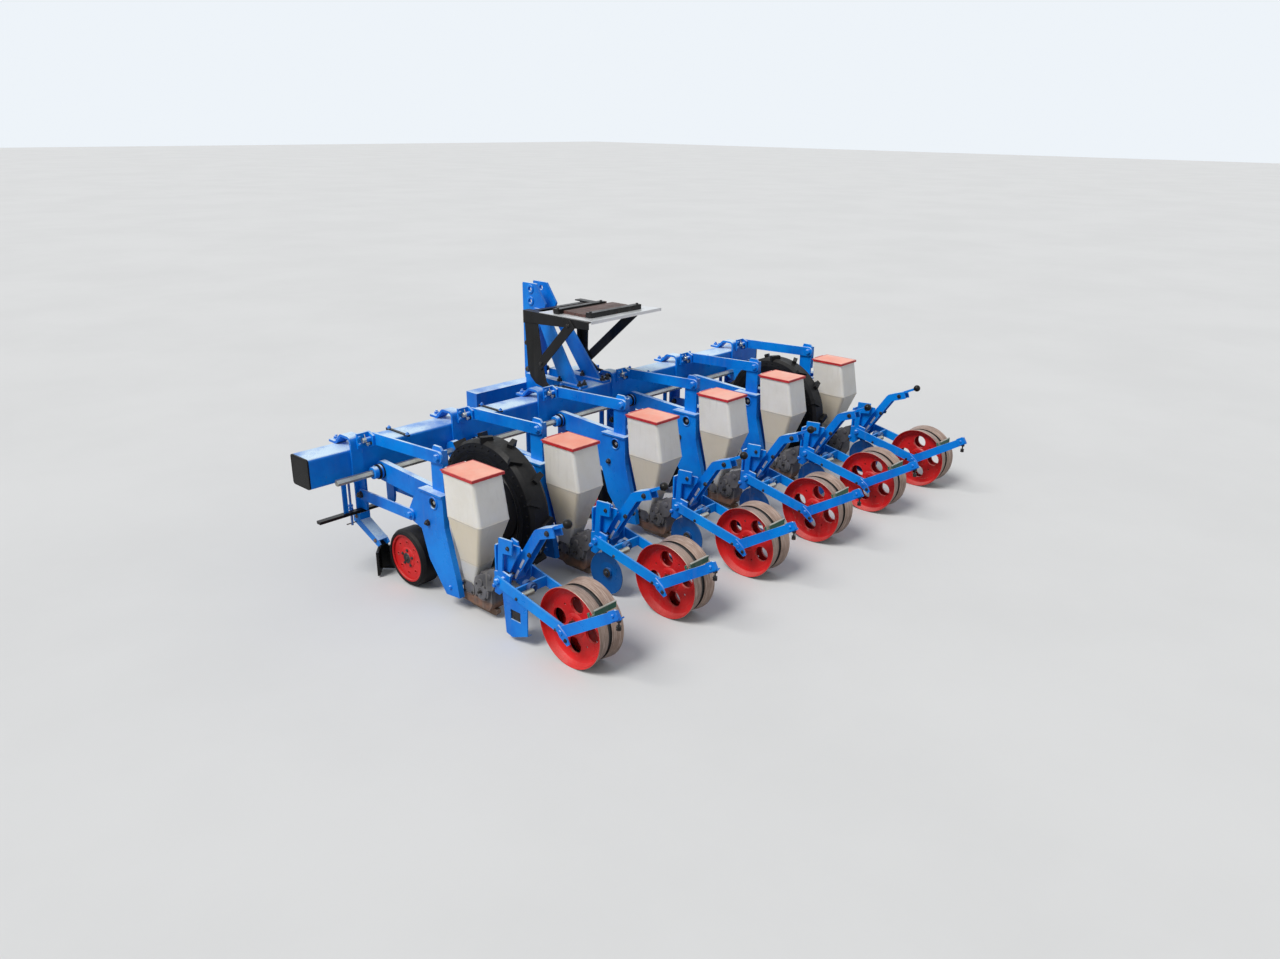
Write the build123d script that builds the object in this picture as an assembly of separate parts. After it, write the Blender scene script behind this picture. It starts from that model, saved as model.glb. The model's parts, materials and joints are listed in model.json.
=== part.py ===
from build123d import *
import os
from math import atan2, cos, degrees, hypot, radians, sin

os.makedirs("parts", exist_ok=True)

# Six-row mechanical precision planter, carried on the three-point linkage of a tractor.
# Millimetres. X points right in the direction of travel, Y points forward, Z points up.
# The working frame has X = 0 midway between the rows and Z = 0 on the ground.
# The written parts are moved so that the origin is under the middle of the whole machine.

# Rows and main bar
rows = 6
row_pitch = 500.0
bar_size = 125.0
bar_corner = 12.0
bar_wall = 8.0
bar_y = 430.0
bar_z = 484.0
bar_left = -1574.0
bar_right = 1355.0
cap_thickness = 6.0
seat_gap = 0.3
running_gap = 0.05

# Sheet and plate thicknesses
plate = 10.0
thin_plate = 8.0
sheet = 4.0

# Row mount: a hook over the bar, a cross plate, an ear for the upper arm and hangers below
hook_left = -143.0
hook_width = 50.0
hook_rise = 46.0
hook_bend = 20.0
hook_foot = 90.0
hook_tail = 14.0
cross_left = -117.0
cross_bottom = 545.0
cross_top = 609.0
ear_reach = 30.0
mount_pin = 10.0
mount_pin_left = -100.0
strap_right = 125.0
strap_width = 11.0
strap_thickness = 6.0
strap_rear = 339.0
strap_drop = 70.0
tie_width = 62.0
hanger_offset = 62.0
web_clearance = 1.0
outer_hanger_left = -157.0
outer_hanger_width = 19.0
hanger_web_left = -90.0
hanger_web_right = -44.0
screw_radius = 5.0
screw_x = -113.0
screw_y = 453.5
screw_bottom = 188.0

# Parallel arms of a row unit, as (y, z) pivots
bar_rear = bar_y - bar_size / 2
arm_clearance = 3.0
upper_height = 48.0
upper_clearance = 6.0
upper_front = (bar_rear - upper_height / 2 - upper_clearance, 580.0)
upper_rear = (-93.0, 600.0)
case_height = 82.0
case_front = (bar_rear - case_height / 2 - arm_clearance, 440.0)
case_rear = (-72.0, 418.0)
case_width = 24.0
case_offset = 34.0
lower_front = (418.0, 324.0)
lower_rear = (74.0, 332.0)
lower_height = 46.0
pivot_radius = 9.0
pivot_head = 6.0

# Drive shaft, a hexagon through every chain case
hex_flats = 24.0
hex_left = -1490.0
hex_overhang = 60.0

# Row leg and head
leg_outer = 72.0
leg_flange = 24.0
leg_top = 452.0
cap_overhang = 7.0
cap_front = 12.0
cap_rear = -130.0
head_offset = 34.7
head_width = 72.0
head_rear = -108.0
head_top = 640.0
head_flange = 16.0
hub_hole = 21.0
leg_rear_low = (-190.0, 132.0)
leg_rear_high = (-175.9, 182.0)
leg_front_boss = (20.0, 335.0)
leg_rear_stay = (-150.0, 90.0)
carrier_height = 40.0

# Front gauge wheel
front_radius = 120.0
front_y = 139.0
front_face = 73.5
front_width = 96.0
front_rim = 100.0
front_axle = 12.0

# Twin press wheel
press_radius = 150.0
press_y = -795.0
press_face = 59.0
press_gap = 12.0
press_axle = 10.0
press_hub = 27.0
press_rise = 9.0
press_hole = 27.0
press_hole_circle = 80.0
press_holes = 4

# Fork that carries the press wheel, with its scraper arm
fork_offset = 77.0
fork_right = 66.0
fork_height = 42.0
fork_front = (-452.0, 222.0)
fork_tie_y = -545.0
fork_tie_low = 186.0
fork_tie_high = 224.0
fork_end = 6.0
scraper_reach = 325.0
scraper_angle = 31.6
scraper_height = 34.0
scraper_gap = 6.0

# Covering disc
disc_radius = 87.0
disc_y = -500.0
disc_z = 92.0
disc_offset = 72.0
disc_dish = 12.0
disc_hub = 21.0
disc_axle = 8.0

# Covering plate, which the first row has in place of the disc
cover_sheet = 4.0
cover_lip = 20.0
cover_outline = (
    (-467.0, 200.0),
    (-482.0, 24.0),
    (-515.0, 16.0),
    (-598.0, 49.0),
    (-602.0, 168.0),
)
cover_hole = (-536.0, 110.0)
cover_hole_length = 54.0
cover_hole_height = 40.0

# Seed hopper, sections as (z, half width, front y, rear y)
hopper_wall = 4.0
hopper_sections = (
    (70.3, 27.0, -176.0, -235.0),
    (212.0, 42.0, -170.0, -285.0),
    (390.0, 75.0, -152.0, -349.0),
    (566.0, 73.0, -136.0, -316.0),
)
hopper_corner = 15.0
lid_width = 154.0
lid_length = 186.0
lid_thickness = 4.0
lid_skirt = 7.0
lid_rise = 1.3
lid_clearance = 2.0
hinge_radius = 5.0
hinge_pin = 2.5
hinge_half = 40.0
hinge_ahead = 6.5

# Seed meter, opener and rear bracket of a row unit
meter_half = 34.0
meter_base = 40.0
meter_seat = 70.0
meter_front = -168.0
meter_drum = (-306.0, 118.0)
meter_drum_radius = 40.0
meter_boss = (-306.0, 156.0)
opener_bottom = 12.0
opener_half = 9.0

# Bracket between the rear side plates, in front of the depth lever
yoke_y = -400.0
yoke_low = 230.0
yoke_high = 350.0
yoke_cheek = 34.0
bracket_stay = (-400.0, 180.0)

# Clod clearer in front of the gauge wheel
clearer_bar_y = 434.0
clearer_bar_z = 250.0
clearer_bar_width = 26.0
clearer_bar_height = 12.0
clearer_bar_left = 275.0
clearer_bar_right = 80.0
clearer_arm_left = -95.0
clearer_arm_right = -47.0
clearer_sheet = 6.0
share_middle = -60.0
share_nose = 352.0
share_tail = 286.0
share_spread = 58.0
share_bottom = 8.0
share_height = 104.0
share_sheet = 8.0

# Depth lever
lever_width = 38.0
lever_left = -9.0
lever_thickness = 42.0
lever_sheet = 5.0
lever_bend = (-588.0, 424.0)
lever_end = (-672.0, 455.0)
lever_rod = 12.0
knob_radius = 17.0
knob_x = 6.0
knob_place = (-728.0, 500.0)

# Ground drive wheels
drive_x = 995.0
drive_radius = 303.0
drive_width = 110.0
drive_y = -33.0
drive_rim = 195.0
drive_axle = 15.0
drive_lugs = 20
lug_height = 16.0
lug_width = 22.0
drive_arm_gap = 12.0
drive_arm_width = 30.0

# Headstock
mast_half = 30.0
mast_plate = 12.0
mast_front = 852.0
mast_top = 1010.0
link_hole = 12.9
link_hole_y = 792.0
link_hole_z = 980.0
link_drop = 610.0
lower_spread = 412.0
lower_pin = 14.0
pin_root = 15.0
pin_collar = 22.0
pin_free = 66.0
ear_in = 76.0
ear_out = 14.3
brace_foot = 80.0
brace_foot_half = 26.0
beam_size = 80.0

# Platform behind the mast
platform_half = 215.0
rail_size = 42.0
rail_top = 915.0
rail_rear = 205.0
rail_front = 648.0
deck_thickness = 3.0
deck_corners = ((-213.0, 540.0), (-200.0, 196.0), (298.0, 206.0), (184.0, 516.0))

# Reach of the whole machine, from which its origin is worked out
row_x = [(i - (rows - 1) / 2) * row_pitch for i in range(rows)]
bar_front = bar_y + bar_size / 2
bar_top = bar_z + bar_size / 2
bar_bottom = bar_z - bar_size / 2
press_z = press_radius
scraper_tip_y = press_y - scraper_reach * cos(radians(scraper_angle))
right_reach = bar_right + seat_gap + cap_thickness
left_reach = bar_left - seat_gap - cap_thickness
origin_x = (left_reach + right_reach) / 2
origin_y = (mast_front + scraper_tip_y) / 2


def write(node, shapes):
    """Writes one sub-part, moved from the working frame to the machine's origin."""
    solids = []
    for shape in shapes:
        solids.extend(shape.solids())
    part = Compound(children=[Pos(-origin_x, -origin_y, 0) * s for s in solids])
    part.label = node
    export_step(part, f"parts/{node}.step")


def side_plate(outline, x_from, x_to, corner=0.0):
    """A plate cut to a (y, z) outline, between two x values, with rounded corners."""
    face = make_face(Polyline(*outline, close=True))
    if corner:
        face = fillet(face.vertices(), corner)
    return extrude(Plane.YZ.offset(x_from) * face, x_to - x_from)


def bar_between(start, end, height, x_from, x_to, radius=None):
    """A flat arm with round ends from one (y, z) pivot to another."""
    run = hypot(end[0] - start[0], end[1] - start[1])
    angle = degrees(atan2(end[1] - start[1], end[0] - start[0]))
    middle = ((start[0] + end[0]) / 2, (start[1] + end[1]) / 2)
    face = Pos(*middle) * Rot(0, 0, angle) * SlotCenterToCenter(run, height)
    if radius:
        for point in (start, end):
            face -= Pos(*point) * Circle(radius)
    return extrude(Plane.YZ.offset(x_from) * face, x_to - x_from)


def rod_x(y, z, radius, x_from, x_to):
    """A round rod along x."""
    return extrude(Plane.YZ.offset(x_from) * Pos(y, z) * Circle(radius), x_to - x_from)


def box_between(x0, x1, y0, y1, z0, z1):
    """A block given by its six faces."""
    middle = Pos((x0 + x1) / 2, (y0 + y1) / 2, (z0 + z1) / 2)
    return middle * Box(abs(x1 - x0), abs(y1 - y0), abs(z1 - z0))


def turned(profile, x, y, z):
    """A turned piece: (axial, radius) profile spun about a line along x."""
    face = make_face(Polyline(*profile, close=True))
    return Pos(x, y, z) * revolve(face, Axis.X)


def both_sides(x, shape):
    """A piece made at the row centre, and its mirror image, set at row x."""
    return [Pos(x, 0, 0) * shape, Pos(x, 0, 0) * mirror(shape, about=Plane.YZ)]


def main_bar():
    """The square tube that carries everything."""
    outer = RectangleRounded(bar_size, bar_size, bar_corner)
    inner_size = bar_size - 2 * bar_wall
    inner = RectangleRounded(inner_size, inner_size, bar_corner - bar_wall)
    section = Pos(bar_y, bar_z) * (outer - inner)
    return extrude(Plane.YZ.offset(bar_left) * section, bar_right - bar_left)


def end_caps():
    """Flat caps on both ends of the bar."""
    caps = []
    for x0, x1 in (
        (bar_left - cap_thickness - seat_gap, bar_left - seat_gap),
        (bar_right + seat_gap, bar_right + cap_thickness + seat_gap),
    ):
        cap = box_between(x0, x1, bar_rear, bar_front, bar_bottom, bar_top)
        caps.append(fillet(cap.edges().filter_by(Axis.X), bar_corner))
    return caps


def row_mount(x):
    """Hook, cross plate, ear and pin that hold the upper arm of one row unit on the bar."""
    rear = bar_rear - seat_gap - plate / 2
    top = bar_top + hook_rise
    seat = bar_top + seat_gap + plate / 2
    path = FilletPolyline(
        (rear, bar_bottom - hook_tail),
        (rear, top),
        (bar_y, top),
        (bar_y + (top - seat), seat),
        (bar_y + hook_foot, seat),
        radius=hook_bend,
    )
    mount = extrude(Plane.YZ.offset(hook_left) * trace(path, plate), hook_width)
    cross_rear = rear - 3 * plate / 2
    ear_x = -head_offset - 2 * plate - 2 * seat_gap
    mount += box_between(
        cross_left, ear_x, cross_rear, cross_rear + plate, cross_bottom, cross_top
    )
    ear = (
        (cross_rear, cross_bottom),
        (cross_rear, cross_top),
        (cross_rear - ear_reach, cross_top - 12),
        (cross_rear - ear_reach, cross_bottom + 12),
    )
    mount += side_plate(ear, ear_x - plate, ear_x)
    mount += rod_x(*upper_front, mount_pin, mount_pin_left, -head_offset - plate)
    return [Pos(x, 0, 0) * mount]


def mount_strap(x):
    """Black strap over the bar on the right of the unit, bent down in front."""
    x0 = x + strap_right - strap_width
    x1 = x + strap_right
    z0 = bar_top + seat_gap
    z1 = z0 + strap_thickness
    front = bar_front + seat_gap
    strap = box_between(x0, x1, strap_rear, front + strap_thickness, z0, z1)
    strap += box_between(x0, x1, front, front + strap_thickness, z0 - strap_drop, z0)
    return [strap]


def row_hangers(x):
    """Plates under the bar that hold the lower arms and the clearer bar."""
    top = bar_bottom - seat_gap
    bottom = clearer_bar_z + clearer_bar_height / 2 + seat_gap
    y0 = lower_front[0] - lower_height / 2
    web_y = lower_front[0] + lower_height / 2 + web_clearance
    y1 = web_y + thin_plate
    outline = ((y0, top), (y1, top), (y1, bottom), (y0 + 6, bottom), (y0, bottom + 30))
    piece = side_plate(outline, hanger_offset, hanger_offset + plate)
    left_piece = mirror(piece, about=Plane.YZ)
    hanger = piece + left_piece
    hanger += box_between(
        outer_hanger_left, hanger_offset + plate, y0, y0 + tie_width, top - plate, top
    )
    hanger += box_between(
        outer_hanger_left,
        outer_hanger_left + outer_hanger_width,
        clearer_bar_y - thin_plate / 2,
        clearer_bar_y + thin_plate / 2,
        bottom,
        top - 1,
    )
    hanger += box_between(
        hanger_web_left, hanger_web_right, web_y, y1, bottom, top - 1
    )
    screw = Cylinder(screw_radius, top - screw_bottom - 1, align=(Align.CENTER, Align.CENTER, Align.MIN))
    hanger += Pos(screw_x, screw_y, screw_bottom) * screw
    reach = leg_outer + 2 * seat_gap + thin_plate
    for side in (-1, 1):
        ends = (side * (hanger_offset + 1), side * (reach + pivot_head))
        hanger += rod_x(*lower_front, pivot_radius, min(ends), max(ends))
    return [Pos(x, 0, 0) * hanger]


def upper_arms(x):
    """Flat upper arm on the left of the head."""
    start = head_offset + plate + seat_gap
    hole = mount_pin + seat_gap
    arm = bar_between(upper_front, upper_rear, upper_height, -start - plate, -start, hole)
    return [Pos(x, 0, 0) * arm]


def chain_case(x):
    """The deep closed arm that holds the chain from the drive shaft to the seed meter."""
    x0 = -case_offset
    arm = bar_between(case_front, case_rear, case_height, x0, x0 + case_width)
    hub = rod_x(case_front[0], case_front[1], 30, x0 - 20, x0)
    arm += hub
    bore = hex_flats / 2 + seat_gap
    cutter = RegularPolygon(bore, 6, major_radius=False)
    cutter = extrude(Plane.YZ.offset(x0 - 30) * Pos(*case_front) * cutter, case_width + 60)
    return [Pos(x, 0, 0) * (arm - cutter)]


def lower_arms(x):
    """Flat lower arms from the hangers to the legs."""
    start = leg_outer + seat_gap
    hole = pivot_radius + seat_gap
    arm = bar_between(lower_front, lower_rear, lower_height, -start - thin_plate, -start, hole)
    return both_sides(x, arm)


def drive_shaft():
    """The hexagonal shaft that turns every seed meter."""
    right = row_x[-1] + hex_overhang
    face = RegularPolygon(hex_flats / 2, 6, major_radius=False)
    shaft = extrude(Plane.YZ.offset(hex_left) * Pos(*case_front) * face, right - hex_left)
    return [shaft]


def row_frame(x):
    """Legs, head and gauge wheel carrier of one row unit."""
    leg = (
        (20.0, leg_top),
        (44.0, 428.0),
        (92.0, 348.0),
        (92.0, 312.0),
        (14.0, 290.0),
        (-25.0, 173.0),
        (-122.0, 52.0),
        (-196.0, 60.0),
        (leg_rear_low[0] + thin_plate, leg_rear_low[1]),
        (-126.0, 331.0),
        (-122.0, leg_top),
    )
    inside = -leg_outer + thin_plate
    side = side_plate(leg, -leg_outer, inside)
    side -= rod_x(*case_rear, hub_hole, -leg_outer - 1, inside + 1)
    flange = (
        (-130.0, leg_top),
        (-122.0, leg_top),
        (-126.0, 331.0),
        (leg_rear_low[0] + thin_plate, leg_rear_low[1]),
        (-196.0, 60.0),
        (-204.0, 60.0),
        leg_rear_low,
        (-134.0, 331.0),
    )
    side += side_plate(flange, -leg_outer, -leg_outer + leg_flange)
    side += box_between(
        -leg_outer - cap_overhang, -head_offset, cap_rear, cap_front, leg_top, leg_top + thin_plate
    )
    reach = leg_outer + 2 * seat_gap + thin_plate + pivot_head
    side += rod_x(*lower_rear, pivot_radius, -reach, -leg_outer + 1)
    frame = side + mirror(side, about=Plane.YZ)
    head_bottom = leg_top + thin_plate
    head = (
        (head_rear + head_width, head_bottom),
        (head_rear + head_width, head_top - 52),
        (head_rear + head_width - 20, head_top),
        (head_rear + 12, head_top),
        (head_rear, head_top - 12),
        (head_rear, head_bottom),
    )
    frame += side_plate(head, -head_offset - plate, -head_offset)
    frame += box_between(
        -head_offset - plate,
        -head_offset + head_flange,
        head_rear,
        head_rear + thin_plate,
        head_bottom + 46,
        head_top - 14,
    )
    arm_end = -head_offset - 2 * plate - seat_gap - pivot_head
    frame += rod_x(*upper_rear, mount_pin, arm_end, -head_offset - 1)
    frame += rod_x(*leg_front_boss, 14, inside - 1, -inside + 1)
    frame += rod_x(*leg_rear_stay, 9, inside - 1, -inside + 1)
    wheel_inner = front_face - front_width
    carrier_x = -wheel_inner + 9
    hub = (front_y, front_radius)
    frame += bar_between(leg_front_boss, hub, carrier_height, carrier_x, carrier_x + plate)
    frame += rod_x(*hub, front_axle, -front_face + 18, carrier_x + 1)
    return [Pos(x, 0, 0) * frame]


def hopper_loft(inset, bottom_extra, top_extra):
    """The hopper's outer or inner form, lofted through its sections."""
    faces = []
    for i, (z, half, front, rear) in enumerate(hopper_sections):
        if i == 0:
            z = z - bottom_extra
        if i == len(hopper_sections) - 1:
            z = z + top_extra
        face = Pos(0, (front + rear) / 2, z) * RectangleRounded(
            2 * (half - inset), front - rear - 2 * inset, hopper_corner - inset
        )
        faces.append(face)
    return loft(faces, ruled=True)


def hopper(x):
    """A hollow tapered hopper, open at the top and at its neck, with hinge lugs."""
    shell = hopper_loft(0, 0, 0) - hopper_loft(hopper_wall, 1, 1)
    top = hopper_sections[-1][0]
    front = hopper_sections[-1][2]
    for side in (-1, 1):
        x0 = side * (hinge_half + 0.5)
        x1 = side * (hinge_half + 8)
        lug = box_between(x0, x1, front - 2, front + hinge_ahead + 4, top - 16, top)
        lug += rod_x(front + hinge_ahead, top, hinge_radius, min(x0, x1), max(x0, x1))
        shell += lug
    shell += rod_x(front + hinge_ahead, top, hinge_pin, -hinge_half - 2, hinge_half + 2)
    return Pos(x, 0, 0) * shell


def lid(x):
    """A flat lid with a skirt on three sides, hinged along its front edge."""
    top = hopper_sections[-1][0]
    half, front, rear = hopper_sections[-1][1:]
    z0 = top + lid_rise
    y1 = front + 0.5
    y0 = y1 - lid_length
    piece = box_between(-lid_width / 2, lid_width / 2, y0, y1, z0, z0 + lid_thickness)
    skirt = lid_width / 2 - half - lid_clearance
    for side in (-1, 1):
        x0 = side * lid_width / 2
        piece += box_between(x0, x0 - side * skirt, y0, front - 8, z0 - lid_skirt, z0)
    piece += box_between(
        -lid_width / 2, lid_width / 2, y0, rear - lid_clearance, z0 - lid_skirt, z0
    )
    barrel = rod_x(front + hinge_ahead, top, hinge_radius, -hinge_half, hinge_half)
    axis_y = front + hinge_ahead
    web = box_between(-hinge_half, hinge_half, front - 4, axis_y + 2, z0, z0 + lid_thickness)
    neck = box_between(-hinge_half, hinge_half, axis_y - 3, axis_y + 2, top + 3.5, z0 + 1)
    piece += web + neck + barrel
    piece -= rod_x(axis_y, top, hinge_pin + running_gap, -hinge_half - 1, hinge_half + 1)
    return Pos(x, 0, 0) * piece


def seed_meter(x):
    """Meter housing behind the hopper's neck, with the bosses that hold it."""
    outline = (
        (meter_front, meter_base),
        (meter_front, meter_seat),
        (-241.5, meter_seat),
        (-292.5, 190.0),
        (-330.0, 190.0),
        (-352.0, 150.0),
        (-352.0, 70.0),
        (-334.0, meter_base),
    )
    body = side_plate(outline, -meter_half, meter_half)
    boss = leg_outer - leg_flange - seat_gap
    body += rod_x(*meter_drum, meter_drum_radius, -meter_half - 8, meter_half + 8)
    body += rod_x(*meter_boss, 9, -boss, boss)
    return [Pos(x, 0, 0) * body]


def rear_bracket(x, has_disc):
    """Side plates behind the meter, from the legs to the fork pivot, with the yoke of the lever."""
    low = (
        (leg_rear_low[0] - seat_gap, leg_rear_low[1]),
        (leg_rear_high[0] - seat_gap, leg_rear_high[1]),
        (-330.0, 196.0),
        (-386.0, 250.0),
    )
    high = (
        (-480.0, 262.0),
        (-480.0, 196.0),
        (-420.0, 150.0),
        (-330.0, 132.0),
    )
    ear = ((-394.0, 372.0), (-428.0, 372.0), (-470.0, 270.0))
    x0 = leg_outer - leg_flange
    bracket = side_plate(low + ear + high[1:], -x0 - thin_plate, -x0, 6)
    bracket += side_plate(low + high, x0, x0 + thin_plate, 6)
    yoke_rear = yoke_y - thin_plate / 2
    yoke_front = yoke_y + thin_plate / 2
    bracket += box_between(-x0 - 1, yoke_cheek + 1, yoke_rear, yoke_front, yoke_low, yoke_high)
    cheek = (
        (yoke_front, yoke_low),
        (yoke_front, yoke_high - 12),
        (yoke_rear - 24, yoke_high - 18),
        (yoke_rear - 28, yoke_high - 44),
        (yoke_rear - 56, yoke_high - 48),
        (yoke_rear - 72, yoke_low + 24),
        (yoke_rear - 72, yoke_low),
    )
    bracket += side_plate(cheek, yoke_cheek, yoke_cheek + thin_plate)
    bracket += rod_x(*bracket_stay, 9, -x0 - 1, x0 + 1)
    left_end = -fork_offset - thin_plate - fork_end
    bracket += rod_x(*fork_front, press_axle, left_end, fork_right + thin_plate + fork_end)
    if has_disc:
        stalk_top = (-462.0, 214.0)
        bracket += bar_between(stalk_top, (disc_y, disc_z), 30, -x0 - thin_plate, -x0)
        bracket += rod_x(disc_y, disc_z, disc_axle, -disc_offset - 2, -x0 - 1)
    return [Pos(x, 0, 0) * bracket]


def opener(x):
    """Runner shoe that opens the furrow."""
    shoe = (
        (-160.0, meter_base - seat_gap),
        (-172.0, opener_bottom + 16),
        (-200.0, opener_bottom),
        (-338.0, opener_bottom),
        (-350.0, opener_bottom + 14),
        (-346.0, meter_base - seat_gap),
        (-186.0, meter_base - seat_gap),
    )
    return [Pos(x, 0, 0) * side_plate(shoe, -opener_half, opener_half)]


def clearer_bar(x):
    """The black cross bar that sticks out to the left of the unit."""
    return [
        box_between(
            x - clearer_bar_left,
            x + clearer_bar_right,
            clearer_bar_y - clearer_bar_width / 2,
            clearer_bar_y + clearer_bar_width / 2,
            clearer_bar_z - clearer_bar_height / 2,
            clearer_bar_z + clearer_bar_height / 2,
        )
    ]


def clearer_arms(x):
    """Folded sheet channel from the cross bar down to the share."""
    seat = clearer_bar_z - clearer_bar_height / 2 - seat_gap
    ridge_front = (418.0, 214.0)
    ridge_rear = (298.0, 158.0)
    outline = (
        (448.0, seat),
        (ridge_front[0], seat),
        ridge_front,
        ridge_rear,
        (284.0, 142.0),
        (302.0, 128.0),
        (470.0, 198.0),
        (470.0, 222.0),
    )
    left = clearer_arm_left
    right = clearer_arm_right
    arm = side_plate(outline, left, left + clearer_sheet)
    arm += side_plate(outline, right - clearer_sheet, right)
    under = -clearer_sheet
    web = (
        (448.0, seat),
        (ridge_front[0], seat),
        ridge_front,
        ridge_rear,
        (ridge_rear[0] + 3, ridge_rear[1] + under),
        (ridge_front[0] + 4, ridge_front[1] + under),
        (ridge_front[0] + 6, seat + under),
        (448.0, seat + under),
    )
    arm += side_plate(web, left + 1, right - 1)
    return [Pos(x, 0, 0) * arm]


def clearer_share(x):
    """A pair of black blades set as a V that pushes clods aside, with its post."""
    blade = make_face(
        Polyline(
            (0, share_nose),
            (share_spread, share_tail),
            (share_spread - share_sheet, share_tail - 6),
            (0, share_nose - 2 * share_sheet),
            close=True,
        )
    )
    half = extrude(Pos(0, 0, share_bottom) * blade, share_height)
    share = half + mirror(half, about=Plane.YZ)
    post = (
        (share_nose - 22, share_bottom + 20),
        (share_nose - 22, 139.0),
        (308.0, 124.0),
        (308.0, share_bottom + 20),
    )
    share += side_plate(post, -18, 18)
    return [Pos(x + share_middle, 0, 0) * share]


def front_wheel_disc():
    """Pressed disc of the gauge wheel with a ring of small holes."""
    outer = front_face - 4
    rim = front_rim
    inner = -(front_width - front_face) + 4
    # the disc is a thin web inside the rim
    web = (
        (-outer + 8, front_axle + running_gap),
        (-outer + 8, rim - 4),
        (-outer + 13, rim - 4),
        (-outer + 13, front_axle + running_gap),
    )
    hub = (
        (-outer + 2, front_axle + running_gap),
        (-outer + 2, 24),
        (-outer + 62, 24),
        (-outer + 62, front_axle + running_gap),
    )
    ring = (
        (-outer, rim - 6),
        (-outer, rim),
        (-inner, rim),
        (-inner, rim - 6),
    )
    wheel = turned(web, 0, 0, 0) + turned(hub, 0, 0, 0) + turned(ring, 0, 0, 0)
    for i in range(8):
        a = radians(45 * i)
        wheel -= rod_x(66 * cos(a), 66 * sin(a), 5.5, -front_face, 0)
    return wheel


def front_tyre():
    """Solid rubber tyre of the gauge wheel, rounded at its shoulders."""
    left = -front_face
    right = front_width - front_face
    inner = front_rim + seat_gap
    r = front_radius
    profile = (
        (left, inner),
        (left, r - 16),
        (left + 5, r - 6),
        (left + 16, r),
        (right - 16, r),
        (right - 5, r - 6),
        (right, r - 16),
        (right, inner),
    )
    return turned(profile, 0, 0, 0)


def press_wheel():
    """Twin press wheel: two dished discs with conical treads on one hub."""
    bore = press_axle + running_gap
    half_gap = press_gap / 2
    face = press_face
    r = press_radius
    # columns: axial place from the row centre, radius
    profile = (
        (-face, r - 8),
        (-face, r),
        (-half_gap, r - press_rise),
        (-half_gap, r - press_rise - 7),
        (-face + 18, r - 14),
        (-face + 22, 60),
        (-face + 14, 40),
        (-face + 14, bore),
        (-face - 2, bore),
        (-face - 2, press_hub),
        (-face + 8, 44),
        (-face + 16, 62),
        (-face + 10, r - 16),
        (-face + 4, r - 14),
    )
    left = turned(profile, 0, 0, 0)
    for i in range(press_holes):
        a = radians(360 / press_holes * (i + 0.5))
        y = press_hole_circle * cos(a)
        z = press_hole_circle * sin(a)
        left -= rod_x(y, z, press_hole, -face - 4, 0)
    hub = (
        (-face + 10, bore),
        (-face + 10, press_hub),
        (face - 10, press_hub),
        (face - 10, bore),
    )
    wheel = left + mirror(left, about=Plane.YZ) + turned(hub, 0, 0, 0)
    return wheel


def press_fork(x):
    """Two arms from the rear bracket to the press wheel, tied ahead of the wheel."""
    left = -fork_offset
    right = fork_right
    axle = (press_y, press_z)
    hole = press_axle + seat_gap
    fork = bar_between(fork_front, axle, fork_height, left - thin_plate, left)
    fork += bar_between(fork_front, axle, fork_height, right, right + thin_plate)
    fork -= rod_x(*fork_front, hole, left - 20, right + 20)
    half = thin_plate / 2
    fork += box_between(
        left - 1, right + 1, fork_tie_y - half, fork_tie_y + half, fork_tie_low, fork_tie_high
    )
    left_end = left - 2 * thin_plate - seat_gap - fork_end
    fork += rod_x(press_y, press_z, press_axle, left_end, right + thin_plate + fork_end)
    return [Pos(x, 0, 0) * fork]


def scraper(x):
    """Scraper arm behind the press wheel, with its end plate."""
    a = radians(scraper_angle)
    tip = (press_y - (scraper_reach - 20) * cos(a), press_z + (scraper_reach - 20) * sin(a))
    outer = fork_offset + thin_plate + seat_gap
    arm = bar_between((press_y, press_z), tip, scraper_height, -outer - thin_plate, -outer)
    hole = press_axle + seat_gap
    arm -= rod_x(press_y, press_z, hole, -outer - 20, -outer + 20)
    cross = rod_x(tip[0], tip[1], 8, -outer - 1, 52)
    return [Pos(x, 0, 0) * (arm + cross)]


def scraper_blade(x):
    """Flat blade that hangs from the cross rod to the treads."""
    a = radians(scraper_angle)
    outer_end = scraper_reach - 20 - 8 - seat_gap
    inner_end = press_radius + scraper_gap
    blade = Box(2 * (press_face - 10), outer_end - inner_end, 5)
    middle = (outer_end + inner_end) / 2
    y = press_y - middle * cos(a)
    z = press_z + middle * sin(a)
    return [Pos(x, y, z) * Rot(-scraper_angle, 0, 0) * blade]


def covering_disc():
    """Dished covering disc."""
    r = disc_radius
    bore = disc_axle + running_gap
    back = disc_dish + 4
    profile = (
        (4, bore),
        (4, disc_hub),
        (disc_dish, disc_hub),
        (disc_dish, disc_hub + 22),
        (0, r),
        (4, r),
        (back, disc_hub + 24),
        (back, bore),
    )
    return turned(profile, 0, 0, 0)


def covering_plate(x):
    """Pressed plate with lips that stands in place of the covering disc, held on the fork's arm."""
    left = -fork_offset + seat_gap
    plate_solid = side_plate(cover_outline, left, left + cover_lip)
    sheet_y = cover_sheet * 1.1
    inner = (
        (cover_outline[0][0] - sheet_y, cover_outline[0][1] + 20),
        (cover_outline[1][0] - sheet_y, cover_outline[1][1] + cover_sheet),
        (cover_outline[2][0], cover_outline[2][1] + cover_sheet),
        (cover_outline[3][0] - 20, cover_outline[3][1] + cover_sheet + 6),
        (cover_outline[4][0] - 20, cover_outline[4][1] + 40),
    )
    plate_solid -= side_plate(inner, left + cover_sheet, left + cover_lip + 1)
    plate_solid -= Pos(left, *cover_hole) * Box(3 * cover_sheet, cover_hole_length, cover_hole_height)
    return [Pos(x, 0, 0) * plate_solid]


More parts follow.
